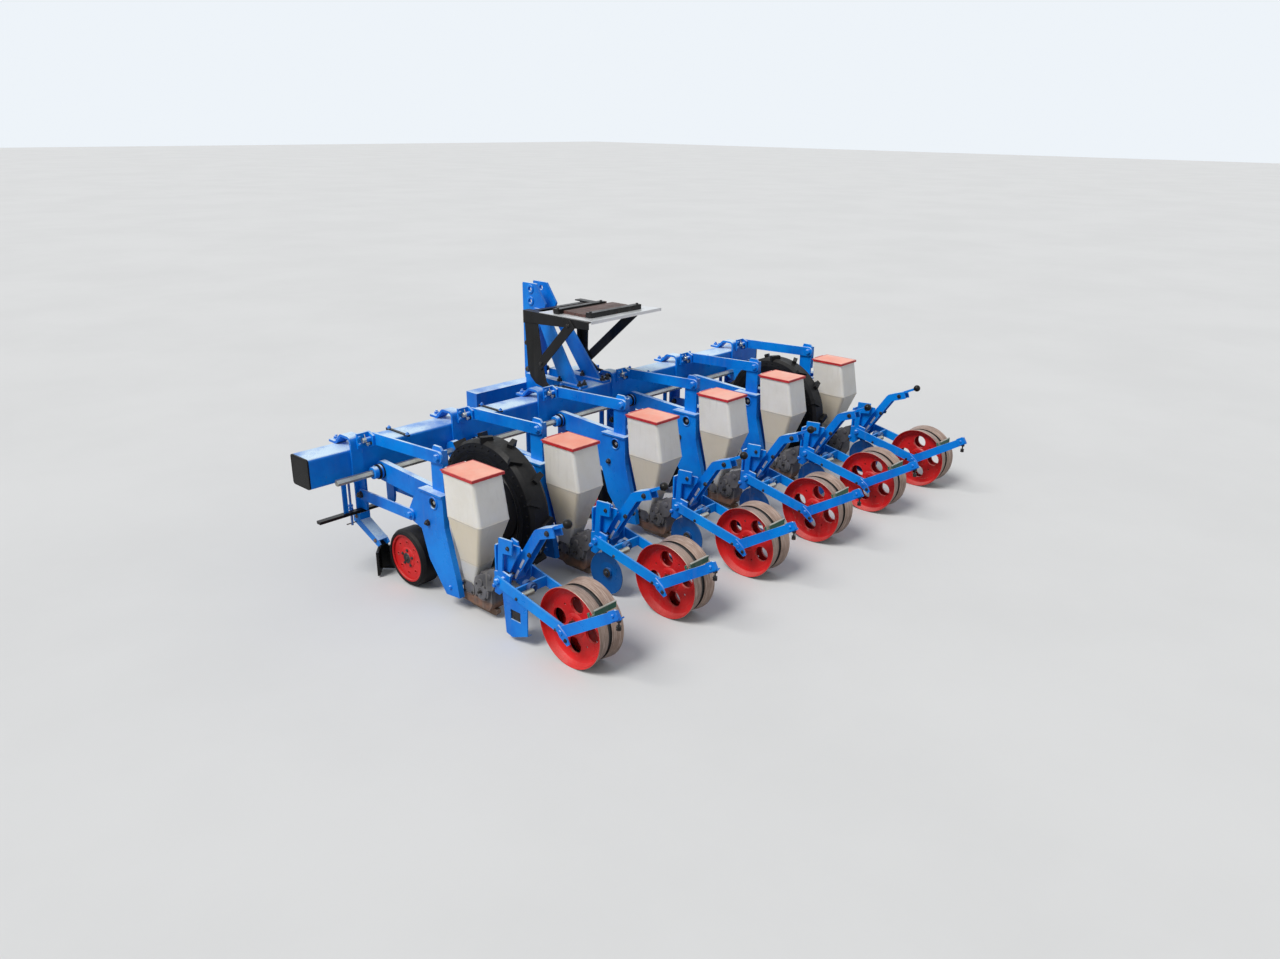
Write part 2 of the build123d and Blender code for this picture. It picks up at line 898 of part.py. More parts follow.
def depth_lever(x):
    """Channel lever with a cranked top that sets the sowing depth."""
    path = FilletPolyline(fork_front, lever_bend, lever_end, radius=24)
    band = trace(path, lever_width)
    lever = extrude(Plane.YZ.offset(lever_left) * band, lever_thickness)
    hollow = Pos(-lever_sheet, -lever_sheet) * band
    inner = lever_thickness - 2 * lever_sheet
    lever -= extrude(Plane.YZ.offset(lever_left + lever_sheet) * hollow, inner)
    eye = Pos(*fork_front) * Circle(lever_width / 2 + 3)
    lever += extrude(Plane.YZ.offset(lever_left) * eye, lever_thickness)
    lever -= rod_x(*fork_front, press_axle + seat_gap, lever_left - 1, lever_left + lever_thickness + 1)
    slope = atan2(lever_end[1] - lever_bend[1], lever_end[0] - lever_bend[0])
    lift = lever_width / 2 - lever_sheet
    start = (
        lever_end[0] - 10 * cos(slope) + lift * sin(slope),
        lever_end[1] - 10 * sin(slope) - lift * cos(slope),
    )
    run = (knob_place[0] - start[0], knob_place[1] - start[1])
    share = 1 - (knob_radius + seat_gap) / hypot(*run)
    end = (start[0] + run[0] * share, start[1] + run[1] * share)
    rod = trace(Polyline(start, end), lever_rod)
    lever += extrude(Plane.YZ.offset(knob_x - lever_rod / 2) * rod, lever_rod)
    return [Pos(x, 0, 0) * lever]


def lever_knob(x):
    """Black ball on the lever."""
    return [Pos(x + knob_x, *knob_place) * Sphere(knob_radius)]


def drive_tyre():
    """Lugged traction tyre."""
    half = drive_width / 2
    r = drive_radius - lug_height
    inner = drive_rim + seat_gap
    profile = (
        (-half + 14, inner),
        (-half + 2, inner + 24),
        (-half, r - 40),
        (-half + 6, r - 12),
        (-half + 22, r),
        (half - 22, r),
        (half - 6, r - 12),
        (half, r - 40),
        (half - 2, inner + 24),
        (half - 14, inner),
    )
    tyre = turned(profile, 0, 0, 0)
    lug_length = half - 3
    lug = Box(lug_length, lug_width, lug_height + 12)
    for i in range(drive_lugs):
        side = 1 if i % 2 else -1
        turn = Rot(360 / drive_lugs * i, 0, 0)
        place = Pos(side * (lug_length / 2 + 1), 0, drive_radius - lug_height / 2 - 6)
        tyre += turn * place * Rot(0, 0, side * 28) * lug
    return tyre


def drive_disc():
    """Pressed rim and disc of the drive wheel."""
    half = drive_width / 2 - 16
    bore = drive_axle + running_gap
    ring = ((-half, drive_rim - 8), (-half, drive_rim), (half, drive_rim), (half, drive_rim - 8))
    web = ((-4, bore), (-4, drive_rim - 4), (4, drive_rim - 4), (4, bore))
    hub = ((-30, bore), (-30, 38), (30, 38), (30, bore))
    wheel = turned(ring, 0, 0, 0) + turned(web, 0, 0, 0) + turned(hub, 0, 0, 0)
    for i in range(5):
        a = radians(72 * i)
        wheel -= rod_x(62 * cos(a), 62 * sin(a), 8, -10, 10)
    return wheel


def drive_arm(x):
    """Closed chain arm from the drive shaft to the drive wheel's stub axle."""
    x0 = x + drive_width / 2 + drive_arm_gap
    x1 = x0 + drive_arm_width
    arm = bar_between(case_front, (drive_y, drive_radius), 84, x0, x1)
    bore = RegularPolygon(hex_flats / 2 + seat_gap, 6, major_radius=False)
    arm -= extrude(Plane.YZ.offset(x0 - 5) * Pos(*case_front) * bore, drive_arm_width + 10)
    arm += rod_x(drive_y, drive_radius, drive_axle, x - 40, x0 + 1)
    return arm


def headstock():
    """Mast, braces, feet and beam of the three-point headstock, with the lower ears."""
    beam_y = mast_front - beam_size / 2
    beam_rear = mast_front - beam_size
    pin_z = link_hole_z - link_drop
    beam_z = pin_z + 60
    foot_z = bar_top + seat_gap + 12
    mast = (
        (mast_front, mast_top),
        (752.0, mast_top),
        (682.0, 914.0),
        (730.0, 800.0),
        (beam_rear, 640.0),
        (beam_rear, beam_z + beam_size + seat_gap),
        (mast_front, beam_z + beam_size + seat_gap),
    )
    plates = side_plate(mast, -mast_half - mast_plate, -mast_half, 8)
    plates -= rod_x(link_hole_y, link_hole_z, link_hole, -60, 0)
    plates -= rod_x(link_hole_y, link_hole_z - 60, link_hole, -60, 0)
    plates += mirror(plates, about=Plane.YZ)
    plates += box_between(-mast_half - 1, mast_half + 1, 760, 800, 840, 852)
    brace_x = mast_half + 1.5 * mast_plate + seat_gap
    brace_top = Pos(-brace_x, 712, 890) * Rectangle(mast_plate, 90)
    brace_low = Pos(-brace_foot, bar_y + 45, foot_z - 2) * Rectangle(mast_plate, bar_size)
    foot = loft([brace_low, brace_top])
    foot_left = -brace_foot - brace_foot_half
    foot_right = -brace_foot + brace_foot_half
    foot += box_between(
        foot_left, foot_right, bar_rear + 4, bar_front + 60, bar_top + seat_gap, foot_z
    )
    foot += box_between(
        foot_left, foot_right, bar_front + seat_gap, beam_rear - seat_gap, bar_top - 70, foot_z
    )
    beam = box_between(
        -lower_spread - 20,
        lower_spread + 20,
        beam_rear,
        mast_front,
        beam_z,
        beam_z + beam_size,
    )
    for side in (-1, 1):
        for reach in (ear_in, ear_out):
            x0 = side * (lower_spread - reach)
            ear = (
                (beam_y - 30, beam_z + 34),
                (beam_y + 30, beam_z + 34),
                (beam_y + 38, pin_z - 30),
                (beam_y - 38, pin_z - 30),
            )
            lug = side_plate(ear, x0 - mast_plate / 2, x0 + mast_plate / 2)
            lug -= rod_x(beam_y, pin_z, pin_root + seat_gap, x0 - 20, x0 + 20)
            beam += lug
    return [plates, foot, mirror(foot, about=Plane.YZ), beam]


def hitch_pins():
    """Lower link pins, shouldered against the outer ears, with free ends outside."""
    beam_y = mast_front - beam_size / 2
    pin_z = link_hole_z - link_drop
    head = lower_spread - ear_in - mast_plate / 2 - seat_gap
    outer = lower_spread - ear_out + mast_plate / 2 + seat_gap
    pin = rod_x(beam_y, pin_z, pin_root, head - 8, outer + 1)
    pin += rod_x(beam_y, pin_z, pin_collar, head - 8, head)
    pin += rod_x(beam_y, pin_z, pin_collar, outer, lower_spread)
    pin += rod_x(beam_y, pin_z, lower_pin, lower_spread - 1, lower_spread + pin_free)
    return [pin, mirror(pin, about=Plane.YZ)]


def platform_frame():
    """Black angle-iron frame that carries the deck."""
    z1 = rail_top
    z0 = rail_top - rail_size
    x0 = -platform_half
    x1 = -platform_half + rail_size
    rail = box_between(x0, x1, rail_rear, rail_front, z0, z1)
    upright = (
        (rail_front, z0 + 1),
        (rail_front - 36, z0 + 1),
        (rail_front - 36, 625.0),
        (bar_front - 20, bar_top + seat_gap + 12),
        (bar_front - 20, bar_top + seat_gap),
        (bar_front + 20, bar_top + seat_gap),
        (rail_front, 600.0),
    )
    side = rail + side_plate(upright, x0, x0 + plate)
    diagonal = trace(Polyline((rail_rear + 90, z0 + 6), (rail_front - 30, 652)), 40)
    side += extrude(Plane.YZ.offset(x0) * diagonal, plate)
    side += box_between(
        x0, x1, bar_rear + 30, bar_front - 6, bar_top + seat_gap, bar_top + 12
    )
    frame = side + mirror(side, about=Plane.YZ)
    for y in (rail_rear, rail_front - rail_size):
        frame += box_between(x0, -x0, y, y + rail_size, z0, z1)
    return [frame]


def platform_deck():
    """Aluminium sheet that lies on the frame."""
    face = make_face(Polyline(*deck_corners, close=True))
    return [extrude(Pos(0, 0, rail_top + seat_gap) * face, deck_thickness)]


def deck_bars():
    """Two bars across the deck."""
    z = rail_top + seat_gap + deck_thickness + seat_gap
    bars = []
    for x0, x1, y in ((-190.0, 130.0, 447.0), (-150.0, 200.0, 268.0)):
        bars.append(box_between(x0, x1, y - 16, y + 16, z, z + 24))
    return bars


def deck_board():
    """Board between the two bars."""
    z = rail_top + seat_gap + deck_thickness + seat_gap
    return [box_between(-120, 90, 290, 425, z, z + 14)]


def for_rows(maker):
    """The pieces that a maker gives for every row, in one list."""
    pieces = []
    for x in row_x:
        pieces.extend(maker(x))
    return pieces


write("main_bar", [main_bar()])
write("bar_end_caps", end_caps())
write("headstock", headstock())
write("hitch_pins", hitch_pins())
write("platform_frame", platform_frame())
write("platform_deck", platform_deck())
write("deck_bars", deck_bars() + deck_board())
write("drive_shaft", drive_shaft())
write("row_mounts", for_rows(row_mount) + for_rows(row_hangers))
write("upper_arms", for_rows(upper_arms))
write("chain_cases", for_rows(chain_case))
write("lower_arms", for_rows(lower_arms))
write("row_frames", for_rows(row_frame))
write("seed_meters", for_rows(seed_meter))
brackets = []
for i, x in enumerate(row_x):
    brackets.extend(rear_bracket(x, i > 0))
write("rear_brackets", brackets)
write("covering_plate", covering_plate(row_x[0]))
write("mount_straps", [mount_strap(x)[0] for x in row_x[:-1]])
write("openers", for_rows(opener))
write("clod_clearers", for_rows(clearer_bar) + for_rows(clearer_share))
write("clearer_arms", for_rows(clearer_arms))
write("press_forks", for_rows(press_fork))
write("scraper_arms", for_rows(scraper))
write("scraper_blades", for_rows(scraper_blade))
write("depth_levers", for_rows(depth_lever))
write("lever_knobs", for_rows(lever_knob))
write("hoppers", [hopper(x) for x in row_x])

drive_arms = []
for side, name in ((-1, "left"), (1, "right")):
    place = Pos(side * drive_x, drive_y, drive_radius)
    write(f"drive_tyre_{name}", [place * drive_tyre()])
    write(f"drive_disc_{name}", [place * drive_disc()])
    drive_arms.append(drive_arm(side * drive_x))
write("drive_arms", drive_arms)

disc_solid = front_wheel_disc()
tyre_solid = front_tyre()
press_solid = press_wheel()
covering_solid = covering_disc()
for i, x in enumerate(row_x):
    row = i + 1
    write(f"gauge_disc_{row}", [Pos(x, front_y, front_radius) * disc_solid])
    write(f"gauge_tyre_{row}", [Pos(x, front_y, front_radius) * tyre_solid])
    write(f"press_wheel_{row}", [Pos(x, press_y, press_z) * press_solid])
    if i > 0:
        write(f"covering_disc_{row}", [Pos(x - disc_offset, disc_y, disc_z) * covering_solid])
    write(f"hopper_lid_{row}", [lid(x)])
print("origin", round(origin_x, 3), round(origin_y, 3))
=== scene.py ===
# %% [markdown]
# # A six-row precision planter
# The real machine hangs on a tractor's three-point linkage. Six row units ride behind one square bar,
# and each drops single seeds through a moulded hopper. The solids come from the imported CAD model, in
# metres. This file gives them their finishes and adds the small hardware that a step away still shows.

import json
import math

import bmesh
import bpy
from mathutils import Matrix, Vector


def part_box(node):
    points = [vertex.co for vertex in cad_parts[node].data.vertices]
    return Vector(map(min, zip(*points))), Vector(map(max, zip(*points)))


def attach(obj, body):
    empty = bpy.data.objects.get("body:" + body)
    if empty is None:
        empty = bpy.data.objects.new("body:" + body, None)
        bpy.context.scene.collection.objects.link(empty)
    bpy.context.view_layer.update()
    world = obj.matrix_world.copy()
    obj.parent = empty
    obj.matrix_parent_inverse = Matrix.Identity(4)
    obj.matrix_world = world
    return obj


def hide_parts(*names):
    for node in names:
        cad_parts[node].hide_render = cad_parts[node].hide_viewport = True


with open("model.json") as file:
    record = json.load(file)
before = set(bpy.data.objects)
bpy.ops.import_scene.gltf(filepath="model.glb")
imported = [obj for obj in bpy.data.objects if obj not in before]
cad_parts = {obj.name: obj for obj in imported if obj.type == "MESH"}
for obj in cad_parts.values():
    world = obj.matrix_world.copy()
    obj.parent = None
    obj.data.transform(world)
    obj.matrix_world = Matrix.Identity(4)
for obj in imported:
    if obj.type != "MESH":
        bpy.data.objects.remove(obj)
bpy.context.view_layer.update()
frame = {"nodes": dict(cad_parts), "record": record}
nodes = frame["nodes"]

# %% [markdown]
# ## Where the rows stand
# The CAD origin lies under the middle of the whole machine, and the rows are 500 mm apart. Every
# piece that repeats is placed by one list of row centres, so that one loop dresses all six units.

# %% Row centres and shared places
MM = 0.001
ORIGIN_X = -109.5
ORIGIN_Y = -109.906
ROW_PITCH = 500.0
ROWS = [-1250.0 + ROW_PITCH * i for i in range(6)]


def at(x, y, z):
    """A place of the working drawing (mm from the middle row line) in the frame's metres."""
    return Vector((x - ORIGIN_X, y - ORIGIN_Y, z)) * MM


print("row centres", [round(at(x, 0, 0).x, 4) for x in ROWS])

# %% [markdown]
# ## Shared effects
# Old paint looks old because of a few things that every painted piece shares: rubbed edges, chalked tops
# that also carry painted top light, chips, dust, fine grain in the gloss, and broad changes of tone. Each
# could be drawn into every material by hand. Here each is a node group, built once and given its own values
# in each material.


# %% Helpers that build node groups
def group_tree(name, outputs, **inputs):
    """An empty node group; each input gives its default, and a tuple makes it a colour."""
    tree = bpy.data.node_groups.new(name, "ShaderNodeTree")
    for label, default in inputs.items():
        kind = "NodeSocketColor" if isinstance(default, tuple) else "NodeSocketFloat"
        socket = tree.interface.new_socket(label, in_out="INPUT", socket_type=kind)
        socket.default_value = default
    for label in outputs:
        kind = "NodeSocketColor" if label == "Color" else "NodeSocketFloat"
        tree.interface.new_socket(label, in_out="OUTPUT", socket_type=kind)
    return tree, tree.nodes.new("NodeGroupInput"), tree.nodes.new("NodeGroupOutput")


def add(tree, kind, values=None, **settings):
    """A node with its settings, and values for its inputs by name or number."""
    node = tree.nodes.new(kind)
    for key, value in settings.items():
        setattr(node, key, value)
    for key, value in (values or {}).items():
        node.inputs[key].default_value = value
    return node


def plug(tree, value, socket):
    """Gives a socket a number, a colour or another node's output."""
    if isinstance(value, bpy.types.NodeSocket):
        tree.links.new(value, socket)
    else:
        socket.default_value = value


def maths(tree, operation, first, second=None, clamp=False):
    """One sum of two sockets or numbers; returns the result's socket."""
    node = add(tree, "ShaderNodeMath", operation=operation, use_clamp=clamp)
    for place, value in enumerate((first, second)):
        if value is not None:
            plug(tree, value, node.inputs[place])
    return node.outputs[0]


def spread(tree, value, low, high, out_low=0.0, out_high=1.0):
    """Stretches a range of a socket over another range, with soft ends."""
    node = add(tree, "ShaderNodeMapRange", interpolation_type="SMOOTHSTEP")
    tree.links.new(value, node.inputs["Value"])
    for label, number in (("From Min", low), ("From Max", high), ("To Min", out_low), ("To Max", out_high)):
        plug(tree, number, node.inputs[label])
    return node.outputs["Result"]


def noise(tree, scale, detail=5.0, roughness=0.6, stretch=None):
    """Noise in the object's own coordinates, so that it turns with a wheel; stretch scales each axis."""
    place = add(tree, "ShaderNodeTexCoord")
    source = place.outputs["Object"]
    if stretch:
        mapping = add(tree, "ShaderNodeMapping", {"Scale": stretch})
        tree.links.new(source, mapping.inputs["Vector"])
        source = mapping.outputs["Vector"]
    node = add(tree, "ShaderNodeTexNoise", {"Detail": detail, "Roughness": roughness})
    tree.links.new(source, node.inputs["Vector"])
    plug(tree, scale, node.inputs["Scale"])
    return node.outputs["Fac"]


def parts_of(tree, output):
    """The X, Y and Z of the object's coordinates or of its own normal."""
    place = add(tree, "ShaderNodeTexCoord")
    split = add(tree, "ShaderNodeSeparateXYZ")
    tree.links.new(place.outputs[output], split.inputs[0])
    return split.outputs


# %% Edge wear: where corners have been rubbed
def build_edge_wear():
    """Compares the rounded normal with the real one, and breaks the band up with noise."""
    tree, start, end = group_tree("edge_wear", ["Mask"], Width=0.004, Amount=0.5, Scale=60.0)
    bevel = add(tree, "ShaderNodeBevel", samples=4)
    tree.links.new(start.outputs["Width"], bevel.inputs["Radius"])
    plain = add(tree, "ShaderNodeNewGeometry")
    dot = add(tree, "ShaderNodeVectorMath", operation="DOT_PRODUCT")
    tree.links.new(bevel.outputs["Normal"], dot.inputs[0])
    tree.links.new(plain.outputs["Normal"], dot.inputs[1])
    bend = maths(tree, "SUBTRACT", 1.0, dot.outputs["Value"])
    band = spread(tree, bend, 0.02, 0.25)
    broken = noise(tree, start.outputs["Scale"], 6.0, 0.65)
    limit = spread(tree, start.outputs["Amount"], 0.0, 1.0, 0.70, 0.32)
    patch = spread(tree, maths(tree, "SUBTRACT", broken, limit), -0.02, 0.06)
    tree.links.new(maths(tree, "MULTIPLY", band, patch, clamp=True), end.inputs["Mask"])
    return tree


edge_wear = build_edge_wear()


# %% Settled: what lies on faces that look up, whether chalking with painted top light, dust or rain marks
def build_settled():
    """Grows with the upward slant of the face, and is broken up by two sizes of noise."""
    tree, start, end = group_tree("settled", ["Mask"], Amount=0.4, Scale=14.0, Slant=0.1, Sides=0.1)
    up = parts_of(tree, "Normal")["Z"]
    up = spread(tree, up, start.outputs["Slant"], 0.95, start.outputs["Sides"], 1.0)
    coarse = spread(tree, noise(tree, start.outputs["Scale"]), 0.33, 0.62, 0.25, 1.0)
    fine = spread(tree, noise(tree, 220.0, 3.0), 0.3, 0.65, 0.55, 1.0)
    mixed = maths(tree, "MULTIPLY", maths(tree, "MULTIPLY", coarse, up), fine)
    tree.links.new(maths(tree, "MULTIPLY", mixed, start.outputs["Amount"], clamp=True), end.inputs["Mask"])
    return tree


settled = build_settled()


# %% Chips: small spots where the coat is gone
def build_chips():
    """Sharp spots out of one noise, gathered in patches by a second, slower one."""
    tree, start, end = group_tree("chips", ["Mask"], Amount=0.4, Scale=160.0)
    spots = noise(tree, start.outputs["Scale"], 4.0, 0.55)
    patches = noise(tree, 7.0, 3.0)
    limit = spread(tree, start.outputs["Amount"], 0.0, 1.0, 0.80, 0.58)
    limit = maths(tree, "SUBTRACT", limit, spread(tree, patches, 0.45, 0.7, 0.0, 0.10))
    tree.links.new(spread(tree, maths(tree, "SUBTRACT", spots, limit), 0.0, 0.02), end.inputs["Mask"])
    return tree


chips = build_chips()


# %% Grain: small unevenness of gloss and surface
def build_grain():
    """One noise for the gloss and one, finer, for the height of a bump."""
    tree, start, end = group_tree("grain", ["Roughness", "Height"], Scale=180.0, Low=0.3, High=0.5)
    broad = noise(tree, 11.0, 6.0, 0.7)
    rough = spread(tree, broad, 0.3, 0.7, start.outputs["Low"], start.outputs["High"])
    tree.links.new(rough, end.inputs["Roughness"])
    tree.links.new(noise(tree, start.outputs["Scale"], 4.0), end.inputs["Height"])
    return tree


grain = build_grain()


# %% Tone: slow changes of colour over a surface
def build_tone():
    """Mixes two shades of one colour with broad noise."""
    tree, start, end = group_tree("tone", ["Color"], Light=(1, 1, 1, 1), Dark=(0, 0, 0, 1), Scale=5.0)
    mix = add(tree, "ShaderNodeMix", data_type="RGBA")
    tree.links.new(spread(tree, noise(tree, start.outputs["Scale"], 7.0, 0.62), 0.32, 0.68), mix.inputs["Factor"])
    tree.links.new(start.outputs["Light"], mix.inputs[6])
    tree.links.new(start.outputs["Dark"], mix.inputs[7])
    tree.links.new(mix.outputs[2], end.inputs["Color"])
    return tree


tone = build_tone()


# %% Runs: marks that rain has drawn down a face
def build_runs():
    """Noise stretched upright, kept off the faces that look up or down."""
    tree, start, end = group_tree("runs", ["Mask"], Amount=0.4, Scale=30.0)
    lines = noise(tree, start.outputs["Scale"], 3.0, 0.5, (1.0, 1.0, 0.07))
    patches = spread(tree, noise(tree, 4.0, 2.0), 0.4, 0.65)
    upright = spread(tree, maths(tree, "ABSOLUTE", parts_of(tree, "Normal")["Z"]), 0.35, 0.7, 1.0, 0.0)
    mask = maths(tree, "MULTIPLY", spread(tree, lines, 0.5, 0.68), patches)
    mask = maths(tree, "MULTIPLY", mask, upright)
    tree.links.new(maths(tree, "MULTIPLY", mask, start.outputs["Amount"], clamp=True), end.inputs["Mask"])
    return tree


runs = build_runs()


# %% Below: how far a place lies under a height, with an uneven edge
def build_below():
    """One under the height and nought above it, blurred over the softness and waved by noise."""
    tree, start, end = group_tree("below", ["Mask"], Height=0.2, Soft=0.02, Wave=0.02)
    level = parts_of(tree, "Object")["Z"]
    swing = maths(tree, "MULTIPLY", maths(tree, "SUBTRACT", noise(tree, 18.0, 4.0), 0.5), start.outputs["Wave"])
    level = maths(tree, "ADD", level, swing)
    high = maths(tree, "ADD", start.outputs["Height"], start.outputs["Soft"])
    low = maths(tree, "SUBTRACT", start.outputs["Height"], start.outputs["Soft"])
    tree.links.new(spread(tree, level, low, high, 1.0, 0.0), end.inputs["Mask"])
    return tree


below = build_below()
print("node groups", sorted(tree.name for tree in bpy.data.node_groups))

# %% [markdown]
# ## Finishes
# Each finish is one material: a base tone, then wear, then what has settled on it, in the order in
# which they came to be on the real machine. The Principled shader stays in the material, and the
# groups feed it.


# %% Helpers that build materials
def new_material(name):
    """A material with its tree and its shader."""
    material = bpy.data.materials.new(name)
    material.use_nodes = True
    tree = material.node_tree
    return material, tree, tree.nodes["Principled BSDF"]


def place_group(tree, group, **values):
    """Puts a node group in a tree with its own values; returns its outputs."""
    return add(tree, "ShaderNodeGroup", values, node_tree=group).outputs


def mix_colour(tree, mask, under, over):
    """Lays one colour over another by a mask; each may be a socket or a colour."""
    mix = add(tree, "ShaderNodeMix", data_type="RGBA")
    plug(tree, mask, mix.inputs["Factor"])
    plug(tree, under, mix.inputs[6])
    plug(tree, over, mix.inputs[7])
    return mix.outputs[2]


def feed(tree, shader, colour, roughness, height, distance, strength):
    """Gives a shader its colour, its roughness, and a normal from a height."""
    tree.links.new(colour, shader.inputs["Base Color"])
    tree.links.new(roughness, shader.inputs["Roughness"])
    bump = add(tree, "ShaderNodeBump", {"Distance": distance, "Strength": strength})
    tree.links.new(height, bump.inputs["Height"])
    tree.links.new(bump.outputs["Normal"], shader.inputs["Normal"])


DUST = (0.27, 0.25, 0.22, 1)
RUST = (0.13, 0.045, 0.018, 1)


def painted(name, light, dark, rubbed, chalk_and_top_light, wear, chalk_and_top_light_amount, dusty, chipped):
    """Weathered paint on steel: tone, pale tops for chalking and painted top light, rubbed edges, rusty chips, rain
    marks and dust.
    """
    material, tree, shader = new_material(name)
    shader.inputs["Specular IOR Level"].default_value = 0.28
    base = place_group(tree, tone, Light=light, Dark=dark, Scale=4.0)
    # pale tops: chalking of old paint, and painted top light where faces look up
    tops = place_group(tree, settled, Amount=chalk_and_top_light_amount, Scale=5.0, Slant=0.55, Sides=0.0)
    worn = place_group(tree, edge_wear, Width=0.003, Amount=wear, Scale=55.0)
    spots = place_group(tree, chips, Amount=chipped, Scale=170.0)
    marks = place_group(tree, runs, Amount=dusty * 0.8, Scale=45.0)
    dust = place_group(tree, settled, Amount=dusty, Scale=11.0, Slant=0.0, Sides=0.12)
    surface = place_group(tree, grain, Scale=150.0, Low=0.25, High=0.45)
    colour = mix_colour(tree, tops["Mask"], base["Color"], chalk_and_top_light)
    colour = mix_colour(tree, worn["Mask"], colour, rubbed)
    colour = mix_colour(tree, marks["Mask"], colour, DUST)
    colour = mix_colour(tree, spots["Mask"], colour, RUST)
    colour = mix_colour(tree, dust["Mask"], colour, DUST)
    rough = maths(tree, "ADD", surface["Roughness"], maths(tree, "MULTIPLY", dust["Mask"], 0.6))
    rough = maths(tree, "ADD", rough, maths(tree, "MULTIPLY", spots["Mask"], 0.4), clamp=True)
    height = maths(tree, "SUBTRACT", surface["Height"], maths(tree, "MULTIPLY", spots["Mask"], 0.8))
    feed(tree, shader, colour, rough, height, 0.0005, 0.4)
    return material


# %% The paints
# columns: name, light, dark, rubbed edge, pale top (chalking with painted top light), wear, amount of the pale top,
# dust, chips
PAINT_TABLE = (
    (
        "blue_paint", (0.0, 0.238, 0.80, 1), (0.0, 0.135, 0.60, 1), (0.22, 0.50, 0.80, 1), (0.62, 0.79, 0.93, 1),
        0.42, 1.35, 0.08, 0.25,
    ),
    (
        "fork_blue", (0.0, 0.285, 0.86, 1), (0.0, 0.175, 0.68, 1), (0.10, 0.40, 0.80, 1), (0.20, 0.50, 0.84, 1),
        0.25, 0.5, 0.08, 0.25,
    ),
    # a darker copy of the blue: soil, and painted shade on parts that sit in shadow
    (
        "soiled_and_shaded_blue", (0.0, 0.085, 0.31, 1), (0.0, 0.040, 0.18, 1), (0.12, 0.26, 0.46, 1), (0.24, 0.38, 0.52, 1),
        0.5, 0.4, 0.15, 0.35,
    ),
    (
        "red_paint", (0.70, 0.017, 0.018, 1), (0.45, 0.010, 0.012, 1), (0.50, 0.16, 0.12, 1), (0.78, 0.22, 0.20, 1),
        0.45, 0.7, 0.10, 0.3,
    ),
    (
        "black_paint", (0.008, 0.008, 0.009, 1), (0.004, 0.004, 0.004, 1), (0.07, 0.052, 0.042, 1),
        (0.035, 0.030, 0.030, 1), 0.40, 0.35, 0.06, 0.35,
    ),
    (
        "green_paint", (0.014, 0.12, 0.07, 1), (0.008, 0.07, 0.045, 1), (0.48, 0.60, 0.50, 1), (0.10, 0.22, 0.15, 1),
        0.9, 0.3, 0.2, 0.4,
    ),
)
finishes = {}
for row in PAINT_TABLE:
    finishes[row[0]] = painted(*row)
print("paints", sorted(finishes))


# %% Plastics, rubber and bare metals
def simple_finish(name, light, dark, worn_colour, metallic, low, high, scale, bump, dusty):
    """A plain finish with tone, grain, rubbed edges and dust, for metal, rubber or plastic."""
    material, tree, shader = new_material(name)
    shader.inputs["Metallic"].default_value = metallic
    shader.inputs["Specular IOR Level"].default_value = 0.5 if metallic else 0.2
    base = place_group(tree, tone, Light=light, Dark=dark, Scale=8.0)
    dust = place_group(tree, settled, Amount=dusty, Scale=12.0, Slant=0.0, Sides=0.06)
    surface = place_group(tree, grain, Scale=scale, Low=low, High=high)
    worn = place_group(tree, edge_wear, Width=0.003, Amount=0.4, Scale=60.0)
    colour = mix_colour(tree, worn["Mask"], base["Color"], worn_colour)
    colour = mix_colour(tree, dust["Mask"], colour, DUST)
    feed(tree, shader, colour, surface["Roughness"], surface["Height"], bump, 0.5)
    return material


# columns: name, light, dark, worn edge, metallic, roughness low and high, grain scale, bump, dust
FINISH_TABLE = (
    (
        "black_plastic", (0.008, 0.008, 0.008, 1), (0.004, 0.004, 0.004, 1), (0.03, 0.03, 0.03, 1),
        0.0, 0.20, 0.36, 400.0, 0.0003, 0.05,
    ),
    (
        "tyre_rubber", (0.008, 0.008, 0.009, 1), (0.003, 0.003, 0.004, 1), (0.03, 0.029, 0.028, 1),
        0.0, 0.40, 0.65, 260.0, 0.0010, 0.08,
    ),
    (
        "plated_steel", (0.62, 0.61, 0.56, 1), (0.38, 0.37, 0.31, 1), (0.7, 0.7, 0.68, 1),
        0.85, 0.25, 0.45, 200.0, 0.0003, 0.2,
    ),
    (
        "worn_steel", (0.34, 0.27, 0.22, 1), (0.16, 0.085, 0.05, 1), (0.6, 0.58, 0.55, 1),
        0.7, 0.35, 0.6, 200.0, 0.0006, 0.25,
    ),
    (
        "aluminium_sheet", (0.84, 0.85, 0.86, 1), (0.72, 0.73, 0.74, 1), (0.85, 0.85, 0.86, 1),
        0.55, 0.30, 0.50, 200.0, 0.0003, 0.10,
    ),
    (
        "dark_steel", (0.055, 0.055, 0.058, 1), (0.028, 0.024, 0.022, 1), (0.3, 0.29, 0.28, 1),
        0.6, 0.3, 0.5, 220.0, 0.0004, 0.15,
    ),
)
for row in FINISH_TABLE:
    finishes[row[0]] = simple_finish(*row)
print("plain finishes", [row[0] for row in FINISH_TABLE])

# %% [markdown]
# The hoppers are moulded in cream plastic that light comes into a little. Below the knee where the walls
# turn they are tan and darker, partly from seed and dressing and partly as painted shade on the faces that
# turn down. The neck below is greyer again and darkest at the bottom, with staining and painted shade. A dark
# line at each change of slope stands for the moulded seam and painted shade at the fold. Heights do this
# better than noise, so the mask named below is used three times, with the real heights of the knees.

# %% Hopper plastic
KNEE = 0.390
NECK = 0.212


